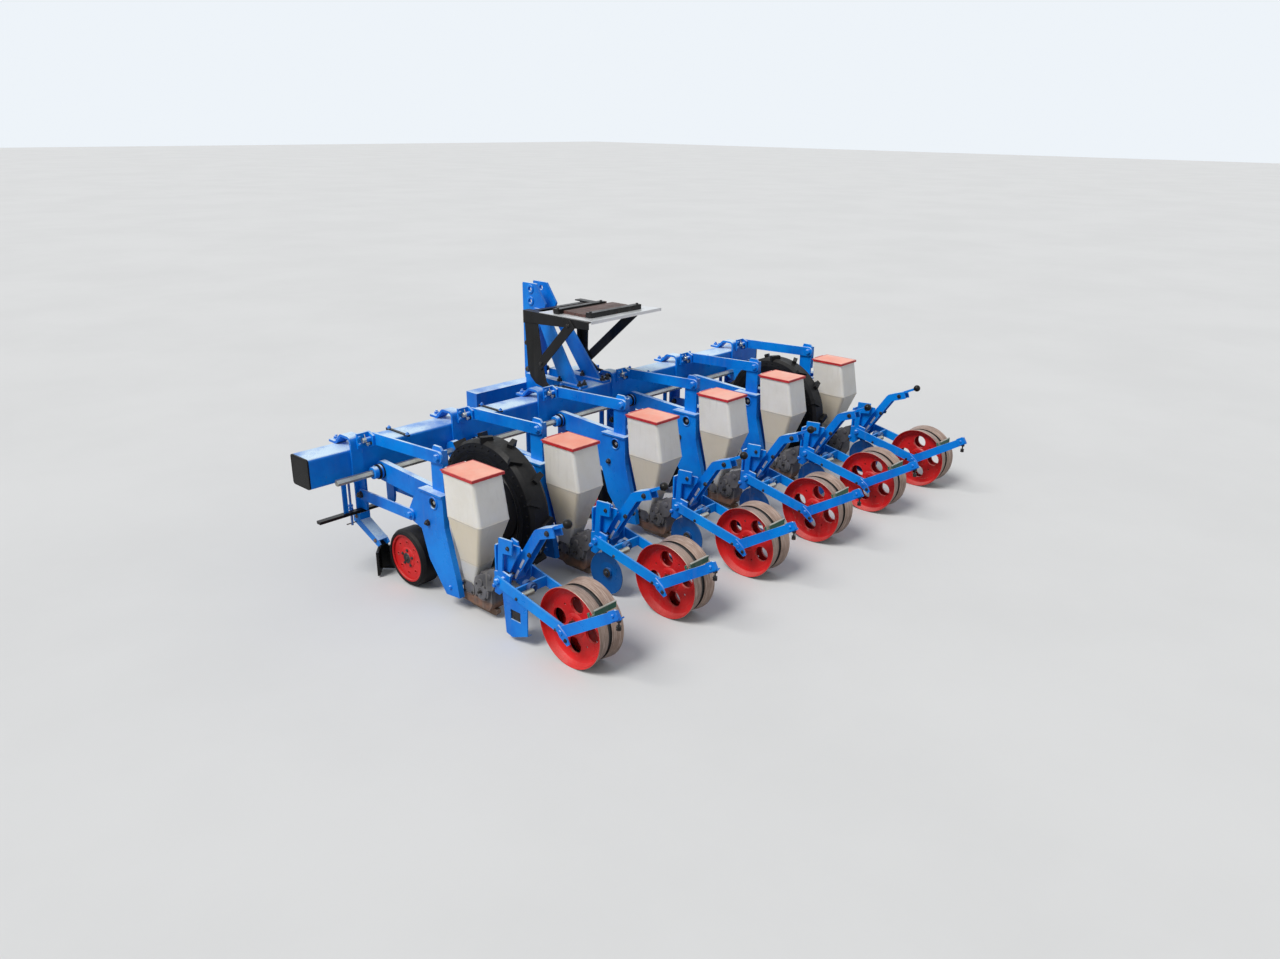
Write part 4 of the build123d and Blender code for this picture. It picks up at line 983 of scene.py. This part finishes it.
# %% Hub caps, bolts and rings of the gauge wheels
GAUGE_Y, GAUGE_Z = 139.0, 120.0
for row, centre in enumerate(ROWS, 1):
    middle = at(centre, GAUGE_Y, GAUGE_Z)
    shape = bmesh.new()
    ring = [(-61.5, 95.5), (-64.0, 93.0), (-67.5, 92.0), (-69.2, 93.0), (-69.4, 95.5)]
    turn(shape, ring, middle, RIGHT, 64, closed=True)
    turn(shape, [(-61.5, 44), (-63.6, 42), (-64.6, 38), (-64.6, 24.4), (-61.5, 24.4)], middle, RIGHT, 44, closed=True)
    for i in range(8):
        spot = middle + Vector((-61.6, *on_circle(66, 45 * i))) * MM
        turn(shape, [(0, 5.6), (0, 8.4), (1.0, 7.8), (1.6, 6.4), (1.2, 5.6)], spot, LEFT, 18, closed=True)
    make_piece(f"gauge_wheel_ring_{row}", shape, "red_paint", body=f"gauge_wheel_{row}")
    shape = bmesh.new()
    for i in range(5):
        spot = middle + Vector((-64.6, *on_circle(33, 72 * i + 20))) * MM
        bolt_head(shape, spot, LEFT, 6)
    cap = [(-67.5, 22.5), (-69.5, 21.5), (-70.6, 17), (-70.6, 12.6), (-67.5, 12.6)]
    turn(shape, cap, middle, RIGHT, 32, closed=True)
    make_piece(f"gauge_wheel_bolts_{row}", shape, "dark_steel", body=f"gauge_wheel_{row}")
    shape = bmesh.new()
    for distance in (-46, -24, -2):
        profile = [(distance - 2.0, 119.2), (distance - 1.2, 119.98), (distance + 1.2, 119.98), (distance + 2.0, 119.2)]
        turn(shape, profile, middle, RIGHT, 72, closed=True)
    for distance in (-73.2, 22.2):
        profile = [(distance - 0.25, 106), (distance - 0.25, 108.5), (distance + 1.2, 109.5), (distance + 1.2, 105)]
        if distance > 0:
            profile = [(distance - 1.2, 105), (distance - 1.2, 109.5), (distance + 0.25, 108.5), (distance + 0.25, 106)]
        turn(shape, profile, middle, RIGHT, 64, closed=True)
    make_piece(f"gauge_tyre_ribs_{row}", shape, "tyre_rubber", body=f"gauge_wheel_{row}")

# %% Axle nuts of the gauge wheels, which stay with the frame
shape = bmesh.new()
for centre in ROWS:
    middle = at(centre, GAUGE_Y, GAUGE_Z)
    turn(shape, [(-60, 11.2), (-68.6, 11.2), (-71.6, 9.5), (-72.4, 6)], middle, RIGHT, 6)
    nut(shape, at(centre + 41.5, GAUGE_Y, GAUGE_Z), RIGHT, 16, thread=0.2)
make_piece("gauge_axle_nuts", shape, "dark_steel")
print("gauge wheels dressed")

# %% [markdown]
# ## Drive wheels
# Two lugged tyres turn the shaft. The lugs are CAD solids. A moulded tyre also has raised rings on
# its walls, a bead that laps the rim, and small ribs between the lugs, which the lathe helper gives.

# %% Wall rings, rim bolts and valve of the drive wheels
# profiles as (mm from the wheel's middle, radius), for the right side of the wheel
RIM_FLANGE = (
    (37, 187.2), (39.2, 190), (44.5, 193.5), (46.5, 198), (44.8, 199.2), (42.6, 195.3), (38.5, 195.2), (36.5, 189),
)
DISC_RIDGE = ((4.2, 150), (9, 146), (10, 138), (10, 96), (9, 88), (4.2, 84))
for name, sign in (("left", -1), ("right", 1)):
    middle = at(sign * 995, -33, 303)
    body = f"drive_wheel_{name}"
    shape = bmesh.new()
    for side in (-1, 1):
        for distance, radius, width in ((54.4, 236, 1.6), (54.7, 243, 1.1), (51.2, 215.5, 2.4)):
            a, b = side * (distance - 2), side * (distance + width * 0.6)
            profile = [(a, radius - 2), (b, radius - 1.2), (b, radius + 1.2), (a, radius + 2)]
            turn(shape, profile, middle, RIGHT, 96, closed=True)
        bead = [(side * 39.5, 196.5), (side * 42.5, 195.5), (side * 44.5, 198), (side * 45, 203), (side * 42, 206)]
        turn(shape, bead, middle, RIGHT, 96, closed=True)
        for i in range(40):
            angle = math.tau * (i + 0.25 * (1 + side)) / 40
            arm = Vector((0, math.cos(angle), math.sin(angle)))
            start = middle + (arm * 262 + RIGHT * side * 47) * MM
            turn(shape, [(0, 2.6), (3, 3.2), (9, 3.2), (11, 2)], start, RIGHT * side, 6)
    make_piece(f"drive_tyre_rings_{name}", shape, "tyre_rubber", body=body)
    shape = bmesh.new()
    for profile, steps in ((RIM_FLANGE, 96), (DISC_RIDGE, 72)):
        for side in (-1, 1):
            turn(shape, profile if side > 0 else mirrored(profile), middle, RIGHT, steps, closed=True)
    make_piece(f"drive_rim_flanges_{name}", shape, "black_paint", body=body)
    shape = bmesh.new()
    for i in range(5):
        angle = math.radians(72 * i)
        arm = Vector((0, math.cos(angle), math.sin(angle)))
        nut(shape, middle + (arm * 62 + LEFT * 4) * MM, LEFT, 13, thread=0.5)
        bolt_head(shape, middle + (arm * 62 + RIGHT * 4) * MM, RIGHT, 13)
    turn(shape, [(-30, 36), (-33, 34), (-35, 28), (-35, 15.3), (-30, 15.3)], middle, RIGHT, 36, closed=True)
    arm = Vector((0, math.cos(0.9), math.sin(0.9)))
    turn(shape, [(0, 4), (14, 4), (15, 5), (22, 5), (23, 3)], middle + (arm * 176 + LEFT * 30) * MM, LEFT, 12)
    make_piece(f"drive_wheel_bolts_{name}", shape, "dark_steel", body=body)
print("drive wheels dressed")

# %% [markdown]
# ## Covering discs
# Five rows close the furrow with a dished disc. Its hub is dark, and a collar and a nut hold it on its stub.
# The first row has a pressed plate in its place, with a dark bearing behind the hole: painted shade where
# one looks through it.

# %% Hubs of the covering discs, and the dark bearing of the plate, which is painted shade
for row, centre in enumerate(ROWS[1:], 2):
    middle = at(centre - 68.2, -500, 92)
    shape = bmesh.new()
    turn(shape, [(0, 19.5), (2.2, 19.0), (4.0, 16.0), (4.6, 12.0), (4.6, 9.4), (0, 9.4)], middle, LEFT, 32, closed=True)
    for i in range(4):
        spot = middle + Vector((-3.2, *on_circle(13.6, 45 + 90 * i))) * MM
        turn(shape, [(0, 2.6), (1.6, 2.6), (2.2, 1.8)], spot, LEFT, 6)
    make_piece(f"covering_hub_{row}", shape, "dark_steel", body=f"cover_{row}")
shape = bmesh.new()
for centre in ROWS[1:]:
    hexagon(shape, at(centre - 74.2, -500, 92), LEFT, 11, 5)
# the first row's dark bearing behind the plate's hole is painted shade seen through the hole
middle = at(ROWS[0] - 72.4, -536, 110)
SHADE_BEARING = ((0, 30), (1.2, 36), (3, 37), (14, 35), (18, 30), (18, 0.5), (3, 0.5), (3, 13), (1, 14), (1, 26))
turn(shape, SHADE_BEARING, middle, RIGHT, 36)
for i in range(4):
    spot = middle + Vector((1.0, *on_circle(19, 45 + 90 * i))) * MM
    turn(shape, [(0, 3.4), (2.0, 3.4), (2.6, 2.4)], spot, LEFT, 6)
make_piece("covering_nuts_and_shade_bearing", shape, "dark_steel")
print("covering discs dressed")

# %% [markdown]
# ## Levers and forks
# Behind each meter a lever sets the sowing depth. Its left flange carries two pale bare strips, for worn
# paint and a painted highlight along the edge, and dark bolts clamp it. The strips are cut with the plate
# helper, because each is flat stock with a straight outline. The sleeves and bosses between the fork's arms
# are lathe profiles.

# %% Pale strips for worn paint and painted highlight, and clamps of the levers
shape = bmesh.new()
for centre in ROWS:
    for start, end in (((-462.0, 214.0), (-483.75, 251.5)), ((-491.75, 265.5), (-513.5, 303.0))):
        plate(shape, strip_outline(start, end, 10), centre - 11.2, centre - 9.1)
make_piece("lever_worn_highlight_strips", shape, "aluminium_sheet", bevel=0.4)

shape = bmesh.new()
for centre in ROWS:
    bolt_head(shape, at(centre - 9, -640, 443), LEFT, 10)
    bolt_head(shape, at(centre - 9, -545, 331), LEFT, 9)
    nut(shape, at(centre + 33, -640, 443), RIGHT, 10)
    nut(shape, at(centre + 33, -545, 331), RIGHT, 9)
    nut(shape, at(centre - 9, -452, 222), LEFT, 12, thread=0.3)
    bolt_head(shape, at(centre - 20, -404, 290), REAR, 9)
    bolt_head(shape, at(centre - 56, -482, 352), LEFT, 8)
    bolt_head(shape, at(centre + 42, -450, 280), RIGHT, 9)
make_piece("lever_bolts", shape, "dark_steel")

# %% Sleeves and bosses between the fork arms
shape = bmesh.new()
for centre in ROWS:
    tube = [(0, 8), (0, 11), (1.5, 12.5), (50.5, 12.5), (52, 11), (52, 8)]
    turn(shape, tube, at(centre - 77, -574, 205), RIGHT, 28, closed=True)
    turn(shape, [(0, 7.8), (55, 7.8), (56, 6.5)], at(centre - 76.5, -574, 205), RIGHT, 14)
make_piece("fork_sleeves", shape, "plated_steel")
shape = bmesh.new()
for centre in ROWS:
    boss = [(0, 20), (16, 20), (18, 18), (18, 13), (24, 13), (25, 12)]
    turn(shape, boss, at(centre - 14, -540.5, 210), FRONT, 28)
    turn(shape, boss, at(centre - 14, -549.5, 210), REAR, 28)
# the bosses take the darker blue: painted shade between the fork arms
make_piece("fork_bosses", shape, "soiled_and_shaded_blue")

# %% [markdown]
# ## Scrapers
# A flat arm trails each press wheel. At its end a square tab is bolted on, a long bolt hangs under
# it, and a narrow green blade reaches across both treads from a foot on the arm. The CAD arm is
# plainer, so these plates stand for it. Most are drawn in the arm's own directions, along and over.

# %% Scraper arms
SCRAPER_Y, SCRAPER_Z = -1054.8, 309.8
ARM_SLOPE = math.radians(31.6)
along_arm = Vector((0, -math.cos(ARM_SLOPE), math.sin(ARM_SLOPE)))
over_arm = Vector((0, math.sin(ARM_SLOPE), math.cos(ARM_SLOPE)))


def on_arm(centre, dx, along, over):
    """A place near a scraper arm's end: along the arm and over it, in mm."""
    return at(centre + dx, SCRAPER_Y, SCRAPER_Z) + (along_arm * along + over_arm * over) * MM


def arm_plate(shape, centre, x_from, x_to, corners):
    """A plate across X whose corners are (along, over) from the arm's end."""
    outline = []
    for along, over in corners:
        spot = along_arm * along + over_arm * over
        outline.append((SCRAPER_Y + spot.y, SCRAPER_Z + spot.z))
    plate(shape, outline, centre + x_from, centre + x_to)


def round_end(along, radius, first, steps=8):
    """Points of a half circle about a point on the arm's line, from an angle in degrees."""
    points = []
    for i in range(steps + 1):
        angle = math.radians(first + 180 * i / steps)
        points.append((along + radius * math.cos(angle), radius * math.sin(angle)))
    return points


shape = bmesh.new()
for centre in ROWS:
    outline = [(8, -17), (8, 17)] + round_end(-305, 21, 90)
    arm_plate(shape, centre, -93.3, -85.3, outline)
    arm_plate(shape, centre, -99.5, -93.4, ((-33, -13), (-33, 19), (-27, 22), (4, 22), (8, 18), (8, -9), (4, -13)))
    bolt_head(shape, on_arm(centre, -99.5, -13, 4), LEFT, 6)
    arm_plate(shape, centre, -85.2, -58, ((-34, -17), (-34, -12), (-10, -12), (-10, -17)))
    lug = ((-782, 176), (-770, 158), (-790, 132), (-826, 110), (-838, 120), (-820, 150))
    plate(shape, lug, centre - 99.0, centre - 93.4)
scraper_arms = make_piece("scraper_arm_plates", shape, "blue_paint", bevel=0.8)
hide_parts("scraper_arms")

# %% Blades of the scrapers, standing across both treads
shape = bmesh.new()
for centre in ROWS:
    plate(shape, rectangle(-922, 241, -917.5, 264), centre - 62, centre + 44)
    plate(shape, rectangle(-922, 241, -917.5, 252), centre - 80, centre - 61.9)
    plate(shape, ((-926, 241), (-917.5, 241), (-910, 262), (-917.5, 268)), centre - 85.2, centre - 80)
blades = make_piece("scraper_blade_strips", shape, "green_paint", bevel=0.5)
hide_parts("scraper_blades")
shape = bmesh.new()
for centre in ROWS:
    plate(shape, rectangle(-923, 264.1, -916.5, 267), centre - 62, centre + 44)
make_piece("blade_edges", shape, "plated_steel", bevel=0.4)

# %% Bolts of the scrapers
shape = bmesh.new()
for centre in ROWS:
    drop = on_arm(centre, -74, -22, -17)
    threaded_rod(shape, drop, -UP, 7, 38)
    hexagon(shape, drop, -UP, 10, 7)
    hexagon(shape, drop - UP * 22 * MM, -UP, 10, 7)
    hexagon(shape, drop - UP * 31 * MM, -UP, 10, 6)
    bolt_head(shape, at(centre - 99, -820, 130), LEFT, 7)
make_piece("scraper_bolts", shape, "dark_steel")

# %% [markdown]
# ## Rear brackets
# The bracket behind the meter carries the fork's pin and the depth lever. In the photograph it is
# blue only from the fork forward to the meter's casting, which is bare and dark, and its left plate
# has a tall ear with a window. The CAD bracket runs further forward, so this one stands for it.

# %% Plates of the brackets
# outlines as (y, z): left plate with its ear, right plate, quadrant and cheek beside the lever;
# the yoke across them is (x, z)
EAR = (
    (-398, 152), (-400, 238), (-419, 242), (-431, 378), (-434, 381), (-502, 386), (-505, 383), (-501, 330),
    (-452, 323), (-446, 250), (-486, 243), (-486, 204), (-424, 148),
)
PLAIN = ((-398, 152), (-400, 248), (-410, 262), (-476, 262), (-482, 256), (-482, 204), (-424, 148))
QUADRANT = (
    (-404.2, 236), (-404.2, 318), (-452, 352), (-458, 357), (-518, 362), (-522, 358), (-521, 340),
    (-506, 322), (-462, 244),
)
YOKE = ((-47.8, 230), (-47.8, 330), (-44, 340), (-4, 340), (4, 318), (28, 318), (33.8, 340), (33.8, 230))
CHEEK = ((-395.8, 230), (-395.8, 338), (-428, 332), (-432, 306), (-460, 302), (-476, 254), (-476, 230))
shape = bmesh.new()
for row, centre in enumerate(ROWS, 1):
    plate(shape, EAR, centre - 56, centre - 48)
    plate(shape, PLAIN, centre + 48, centre + 56)
    plate(shape, QUADRANT, centre - 34, centre - 28)
    plate(shape, CHEEK, centre + 34, centre + 42)
    plate(shape, [(centre + x, z) for x, z in YOKE], -404, -396, axis="Y")
    turn(shape, [(0, 9), (114, 9)], at(centre - 57, -400, 180), RIGHT, 20)
    turn(shape, [(0, 9), (1, 10), (170, 10), (171, 9)], at(centre - 91, -452, 222), RIGHT, 24)
    if row > 1:
        plate(shape, strip_outline((-462, 214), (-500, 92), 30), centre - 56, centre - 48)
        turn(shape, [(0, 7.2), (0.8, 8), (27, 8)], at(centre - 74, -500, 92), RIGHT, 20)
brackets = make_piece("bracket_plates", shape, "blue_paint", bevel=0.8)
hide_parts("rear_brackets")

# %% Cast cheeks between the meter and the bracket
CAST_CHEEK = (
    (-268, 104), (-264, 140), (-272, 168), (-296, 184), (-330, 200), (-360, 226), (-388, 238),
    (-392, 232), (-386, 160), (-372, 140), (-334, 128), (-300, 92), (-280, 92),
)
shape = bmesh.new()
for centre in ROWS:
    for side in (-1, 1):
        ends = sorted((centre + side * 42.2, centre + side * 47.8))
        plate(shape, CAST_CHEEK, *ends)
        turn(shape, [(0, 15), (4, 15), (6, 13), (6, 4)], at(centre + side * 47.8, -306, 156), RIGHT * side, 24)
        turn(shape, [(0, 12), (3, 12), (4, 10.5), (4, 4)], at(centre + side * 47.8, -360, 196), RIGHT * side, 20)
    plate(shape, ((-384, 150), (-384, 226), (-374, 222), (-374, 146)), centre - 42.1, centre + 42.1)
make_piece("meter_cheeks", shape, "cast_housing", bevel=1.0)
print("rear of the rows dressed")

# %% [markdown]
# ## Seed meters
# The casting behind each hopper neck holds the seed plate under a round cover. The cover has a
# stepped face and four bolts. A small inspection plate is screwed on in front of it.

# %% Covers and plates of the meters
shape = bmesh.new()
for centre in ROWS:
    for side in (-1, 1):
        cover = [(0, 20), (0, 38.5), (2, 39.5), (4, 38.5), (4.5, 33), (7.5, 31), (8.5, 28), (8.5, 14), (6, 12)]
        start = at(centre + side * 42, -306, 118)
        turn(shape, cover, start, RIGHT * side, 40)
        outline = [(-250, 84), (-246, 80), (-190, 80), (-186, 84), (-186, 122), (-190, 126), (-232, 126), (-250, 112)]
        ends = sorted((centre + side * 34, centre + side * 37.5))
        plate(shape, outline, *ends)
make_piece("meter_covers", shape, "cast_housing", bevel=0.6)

shape = bmesh.new()
for centre in ROWS:
    for side in (-1, 1):
        for i in range(4):
            y, z = on_circle(35.4, 45 + 90 * i)
            bolt_head(shape, at(centre + side * 46.2, -306 + y, 118 + z), RIGHT * side, 5)
        for y, z in ((-240, 88), (-196, 88), (-196, 118)):
            bolt_head(shape, at(centre + side * 37.5, y, z), RIGHT * side, 5)
    turn(shape, [(0, 7), (4, 7), (5, 5.5), (12, 5.5), (13, 4)], at(centre - 50.4, -306, 118), LEFT, 12)
make_piece("meter_bolts", shape, "dark_steel")
print("meters dressed")

# %% [markdown]
# ## Hoppers
# Each hopper is moulded with a rolled lip under its lid and stands in a foot flange on the meter.
# Both are loops of the same rounded rectangle, so one helper sweeps a small section round it.

# %% Lips and foot flanges of the hoppers
def rounded_loop(half, front, rear, corner, steps=5):
    """Points (x, y) of a rectangle with rounded corners, in order, with their outward directions."""
    points = []
    for sx, sy, first in ((1, 1, 0), (-1, 1, 90), (-1, -1, 180), (1, -1, 270)):
        middle = (sx * (half - corner), (front if sy > 0 else rear) - sy * corner)
        for i in range(steps + 1):
            angle = math.radians(first + 90 * i / steps)
            out = (math.cos(angle), math.sin(angle))
            points.append(((middle[0] + out[0] * corner, middle[1] + out[1] * corner), out))
    return points


def rim(shape, place, loop, section):
    """Sweeps a closed section of (outward, along) in mm round a loop; place gives each point."""
    rings = []
    for (a, b), (out_a, out_b) in loop:
        rings.append([shape.verts.new(place(a + out_a * out, b + out_b * out, c)) for out, c in section])
    count, steps = len(rings), len(section)
    for i in range(count):
        first, second = rings[i], rings[(i + 1) % count]
        for j in range(steps):
            k = (j + 1) % steps
            shape.faces.new((first[j], first[k], second[k], second[j]))


# (outward, height) in mm
LIP_SECTION = ((-3.5, 556), (0.3, 556), (1.5, 557), (1.7, 559), (1.2, 560.5), (-0.2, 561.5), (-3.5, 561.5))


def at_row(centre):
    """The same as at, with x from a row's middle."""
    return lambda x, y, z: at(centre + x, y, z)


shape = bmesh.new()
for centre in ROWS:
    lip = rounded_loop(73.2, -136.3, -316.2, 15)
    rim(shape, at_row(centre), lip, LIP_SECTION)
    knee = rounded_loop(75, -152, -349, 15)
    rim(shape, at_row(centre), knee, ((-2, 387), (0.2, 387.4), (0.6, 390), (0.2, 392.6), (-2, 393)))
    neck = rounded_loop(42, -170, -285, 15)
    rim(shape, at_row(centre), neck, ((-2, 209.5), (0.3, 209.8), (1.0, 212), (0.3, 214.2), (-2, 214.5)))
make_piece("hopper_lips", shape, "cream_plastic", angle=50)

shape = bmesh.new()
for centre in ROWS:
    foot = rounded_loop(30, -174, -238, 12)
    rim(shape, at_row(centre), foot, ((-3, 70), (5, 70), (6, 71), (6, 75), (5, 76), (0.5, 77), (-3, 77)))
    for x, y in ((-32, -180), (-32, -231), (32, -180), (32, -231)):
        bolt_head(shape, at(centre + x, y, 76), UP, 4.5)
make_piece("hopper_feet", shape, "cast_housing", angle=50)
print("hoppers dressed")

# %% [markdown]
# ## Bar, headstock and platform
# The bar's black caps have a raised border. The mast stands on two feet that are bolted to the bar,
# and the platform frame is bolted up from angle iron. On its sheet lie two bars and a stained board.

# %% Borders of the end caps
shape = bmesh.new()
for narrow, wide in ((-1580.3, -1577.2), (1358.2, 1361.3)):
    loop = rounded_loop(62.4, 430 + 62.4, 430 - 62.4, 12, steps=6)
    section = ((0.0, narrow), (-9.0, narrow), (-10.5, wide), (0.2, wide))
    rim(shape, lambda a, b, x: at(x, b, 484 + a), loop, section)
make_piece("end_cap_borders", shape, "black_plastic")

# %% Bolts of the headstock and the platform
shape = bmesh.new()
for side in (-1, 1):
    for dx in (-17, 17):
        for y in (386, 530):
            nut(shape, at(side * 80 + dx, y, 558.8), UP, 13, thread=1.0)
    for y, z in ((776, 700), (826, 700), (776, 560), (826, 560)):
        bolt_head(shape, at(side * 42, y, z), RIGHT * side, 14)
    for y, z in ((334, 882), (528, 668)) if side < 0 else ((344, 870), (620, 630)):
        bolt_head(shape, at(side * 221, y, z), RIGHT * side, 9)
    for y in (404, 460):
        bolt_head(shape, at(side * 190, y, 558.5), UP, 10)
make_piece("frame_bolts", shape, "dark_steel")

# %% Lynch pins and collars at the lower ears
shape = bmesh.new()
for side in (-1, 1):
    turn(shape, [(-24, 3.6), (24, 3.6)], at(side * 470, 812, 370), UP, 12)
    turn(shape, [(-4, 15.2), (-3, 17), (3, 17), (4, 15.2)], at(side * 464, 812, 370), RIGHT, 28)
    for y, z in ((0, 26), (0, -26)):
        turn(shape, [(-3, 4.8), (3, 4.8)], at(side * 470, 812 + y, 370 + z), UP, 12)
make_piece("lynch_pins", shape, "plated_steel")

# %% Rings round the mast plates' holes
shape = bmesh.new()
for side in (-1, 1):
    for z in (980, 920):
        boss = [(0, 13.1), (0, 22), (1, 23), (4, 23), (5, 21.5), (5, 13.1)]
        turn(shape, boss, at(side * 42, 792, z), RIGHT * side, 32, closed=True)
make_piece("mast_bosses", shape, "blue_paint")

# %% [markdown]
# The platform's frame is angle iron. A post and a steep brace stand on each side. The left post is
# broad and the right one narrow, the rails are deeper at the front, and the right rail is shorter.
# The CAD frame is plainer, so this one stands for it. The sheet is folded at its rear and right edges.

# %% The frame of the platform
BROAD_POST = (
    (552, 862), (645, 856), (630, 640), (612, 590), (575, 560), (512, 547.2), (472, 547.2), (472, 562),
    (500, 580), (524, 663),
)
NARROW_POST = (
    (690, 872), (632, 872), (640, 660), (614, 600), (560, 566), (472, 562), (472, 547.2), (530, 547.2),
    (610, 560), (660, 600), (682, 650),
)
# columns: side, rear and front end of the rail, height of its rear lower corner, post, ends of the brace
SIDES = (
    (-1, 205, 655, 880, BROAD_POST, (306, 894), (548, 650)),
    (1, 292, 692, 874, NARROW_POST, (318, 888), (640, 612)),
)
shape = bmesh.new()
for side, rear, front, rear_low, post, brace_top, brace_foot in SIDES:
    outer, inner = side * 215, side * 208
    wall = sorted((outer, inner))
    plate(shape, ((front, 914.6), (front, 852), (rear, rear_low), (rear, 914.6)), *wall)
    plate(shape, rectangle(front, 909, rear, 914.7), *sorted((inner, side * 173)))
    plate(shape, post, *wall)
    edge = max(y for y, z in post)
    flange = ((edge, 856), (edge - 8, 650), (edge - 14, 652), (edge - 6, 856))
    plate(shape, flange, *sorted((inner, side * 178)))
    plate(shape, strip_outline(brace_top, brace_foot, 48), *sorted((side * 221, side * 215.1)))
    plate(shape, rectangle(397.5, 547.2, 486.5, 558.5), *sorted((outer, side * 173)))
for y, z in ((336, 888), (612, 878)):
    plate(shape, rectangle(y, z, y + 6, 908.8), -207.8, 207.8)
    plate(shape, rectangle(y, 903, y + 36, 908.8), -207.6, 207.6)
platform_frame = make_piece("platform_angles", shape, "black_paint", bevel=0.8)
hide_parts("platform_frame")

# %% The folded edge of the sheet
shape = bmesh.new()
for (x0, y0), (x1, y1) in (((-200, 196), (298, 206)), ((298, 206), (227, 400))):
    run = Vector((x1 - x0, y1 - y0)).normalized()
    side = Vector((-run.y, run.x)) * 2.6
    outline = ((x0, y0), (x1, y1), (x1 + side.x, y1 + side.y), (x0 + side.x, y0 + side.y))
    plate(shape, outline, 904, 915.2, axis="Z")
make_piece("deck_edges", shape, "aluminium_sheet", bevel=0.4)

# %% The stained board on the deck
shape = bmesh.new()
for y0, y1 in ((285.2, 332.6), (333.4, 381.0), (381.8, 429.8), (464.2, 505)):
    outline = [(-152, y0), (184 if y1 < 500 else 176, y0), (180 if y1 < 500 else 172, y1), (-156, y1)]
    plate(shape, outline, 918.7, 933.2, axis="Z")
make_piece("deck_board", shape, "board_wood", bevel=1.2)
shape = bmesh.new()
for x, y in ((-176, 447), (116, 447), (-136, 268), (186, 268)):
    bolt_head(shape, at(x, y, 942.6), UP, 7)
make_piece("deck_bolts", shape, "dark_steel")
print("platform dressed")

# %% [markdown]
# ## Floor, light and camera
# The photograph was taken in soft daylight that comes mostly from the machine's left. One broad sun
# stands for it, wide enough for soft shadows, and a pale world fills the rest. Rays that go to the
# camera or are mirrored see a whiter world than the one that lights the paint, so the background is
# pale without more light on the object.


# %% The floor
def build_floor():
    """A plain pale floor, big enough for every view."""
    mesh = bpy.data.meshes.new("floor")
    half = 60.0
    corners = [(-half, -half, 0), (half, -half, 0), (half, half, 0), (-half, half, 0)]
    mesh.from_pydata(corners, [], [(0, 1, 2, 3)])
    floor = bpy.data.objects.new("floor", mesh)
    bpy.context.collection.objects.link(floor)
    material, tree, shader = new_material("floor_finish")
    base = place_group(tree, tone, Light=(0.66, 0.66, 0.66, 1), Dark=(0.63, 0.63, 0.63, 1), Scale=0.6)
    path = add(tree, "ShaderNodeLightPath")
    seen = mix_colour(tree, path.outputs["Is Camera Ray"], (0.42, 0.42, 0.42, 1), base["Color"])
    tree.links.new(seen, shader.inputs["Base Color"])
    shader.inputs["Roughness"].default_value = 0.9
    mesh.materials.append(material)


build_floor()


# %% The sky and the sun
WORLD_LIGHT = 0.48
WORLD_SEEN = 0.95
SUN_STRENGTH = 2.55
SUN_FROM = (-0.85, 0.12, 1.12)
SUN_WIDTH = 26


def build_world():
    """An even pale sky, whiter where it is seen or mirrored."""
    world = bpy.data.worlds.new("sky")
    bpy.context.scene.world = world
    world.use_nodes = True
    tree = world.node_tree
    background = tree.nodes["Background"]
    background.inputs["Color"].default_value = (0.90, 0.95, 1.0, 1)
    path = tree.nodes.new("ShaderNodeLightPath")
    seen = maths(tree, "MAXIMUM", path.outputs["Is Camera Ray"], path.outputs["Is Glossy Ray"])
    seen = maths(tree, "MAXIMUM", seen, path.outputs["Is Transmission Ray"])
    strength = add(tree, "ShaderNodeMix", data_type="FLOAT")
    tree.links.new(seen, strength.inputs["Factor"])
    strength.inputs[2].default_value = WORLD_LIGHT
    strength.inputs[3].default_value = WORLD_SEEN
    tree.links.new(strength.outputs[0], background.inputs["Strength"])


def add_sun():
    """A soft sun from the left."""
    data = bpy.data.lights.new("sun", "SUN")
    data.energy = SUN_STRENGTH
    data.angle = math.radians(SUN_WIDTH)
    data.color = (1.0, 0.98, 0.95)
    sun = bpy.data.objects.new("sun", data)
    sun.rotation_mode = "QUATERNION"
    sun.rotation_quaternion = (-Vector(SUN_FROM)).to_track_quat("-Z", "Y")
    bpy.context.collection.objects.link(sun)


build_world()
add_sun()

# %% The camera, fitted to the photograph
LENS_MM = 27.30
SENSOR_MM = 36.0
CAMERA_PLACE = (-3.2248, -2.8337, 1.7893)
PITCH, YAW, ROLL = (math.radians(v) for v in (20.32, 47.93, 0.68))


def build_camera():
    """Sets the camera by pitch below the horizon, yaw from +Y towards +X, and roll."""
    ahead = Vector((math.sin(YAW), math.cos(YAW), 0))
    side = Vector((math.cos(YAW), -math.sin(YAW), 0))
    up = Vector((0, 0, 1))
    look = math.cos(PITCH) * ahead - math.sin(PITCH) * up
    tall = math.sin(PITCH) * ahead + math.cos(PITCH) * up
    right = math.cos(ROLL) * side + math.sin(ROLL) * tall
    top = -math.sin(ROLL) * side + math.cos(ROLL) * tall
    data = bpy.data.cameras.new("camera")
    data.sensor_width = SENSOR_MM
    data.lens = LENS_MM
    camera = bpy.data.objects.new("camera", data)
    turned_to = Matrix((right, top, -look)).transposed()
    camera.matrix_world = Matrix.Translation(CAMERA_PLACE) @ turned_to.to_4x4()
    bpy.context.collection.objects.link(camera)
    bpy.context.scene.camera = camera


build_camera()
bpy.context.scene.view_settings.view_transform = "Standard"
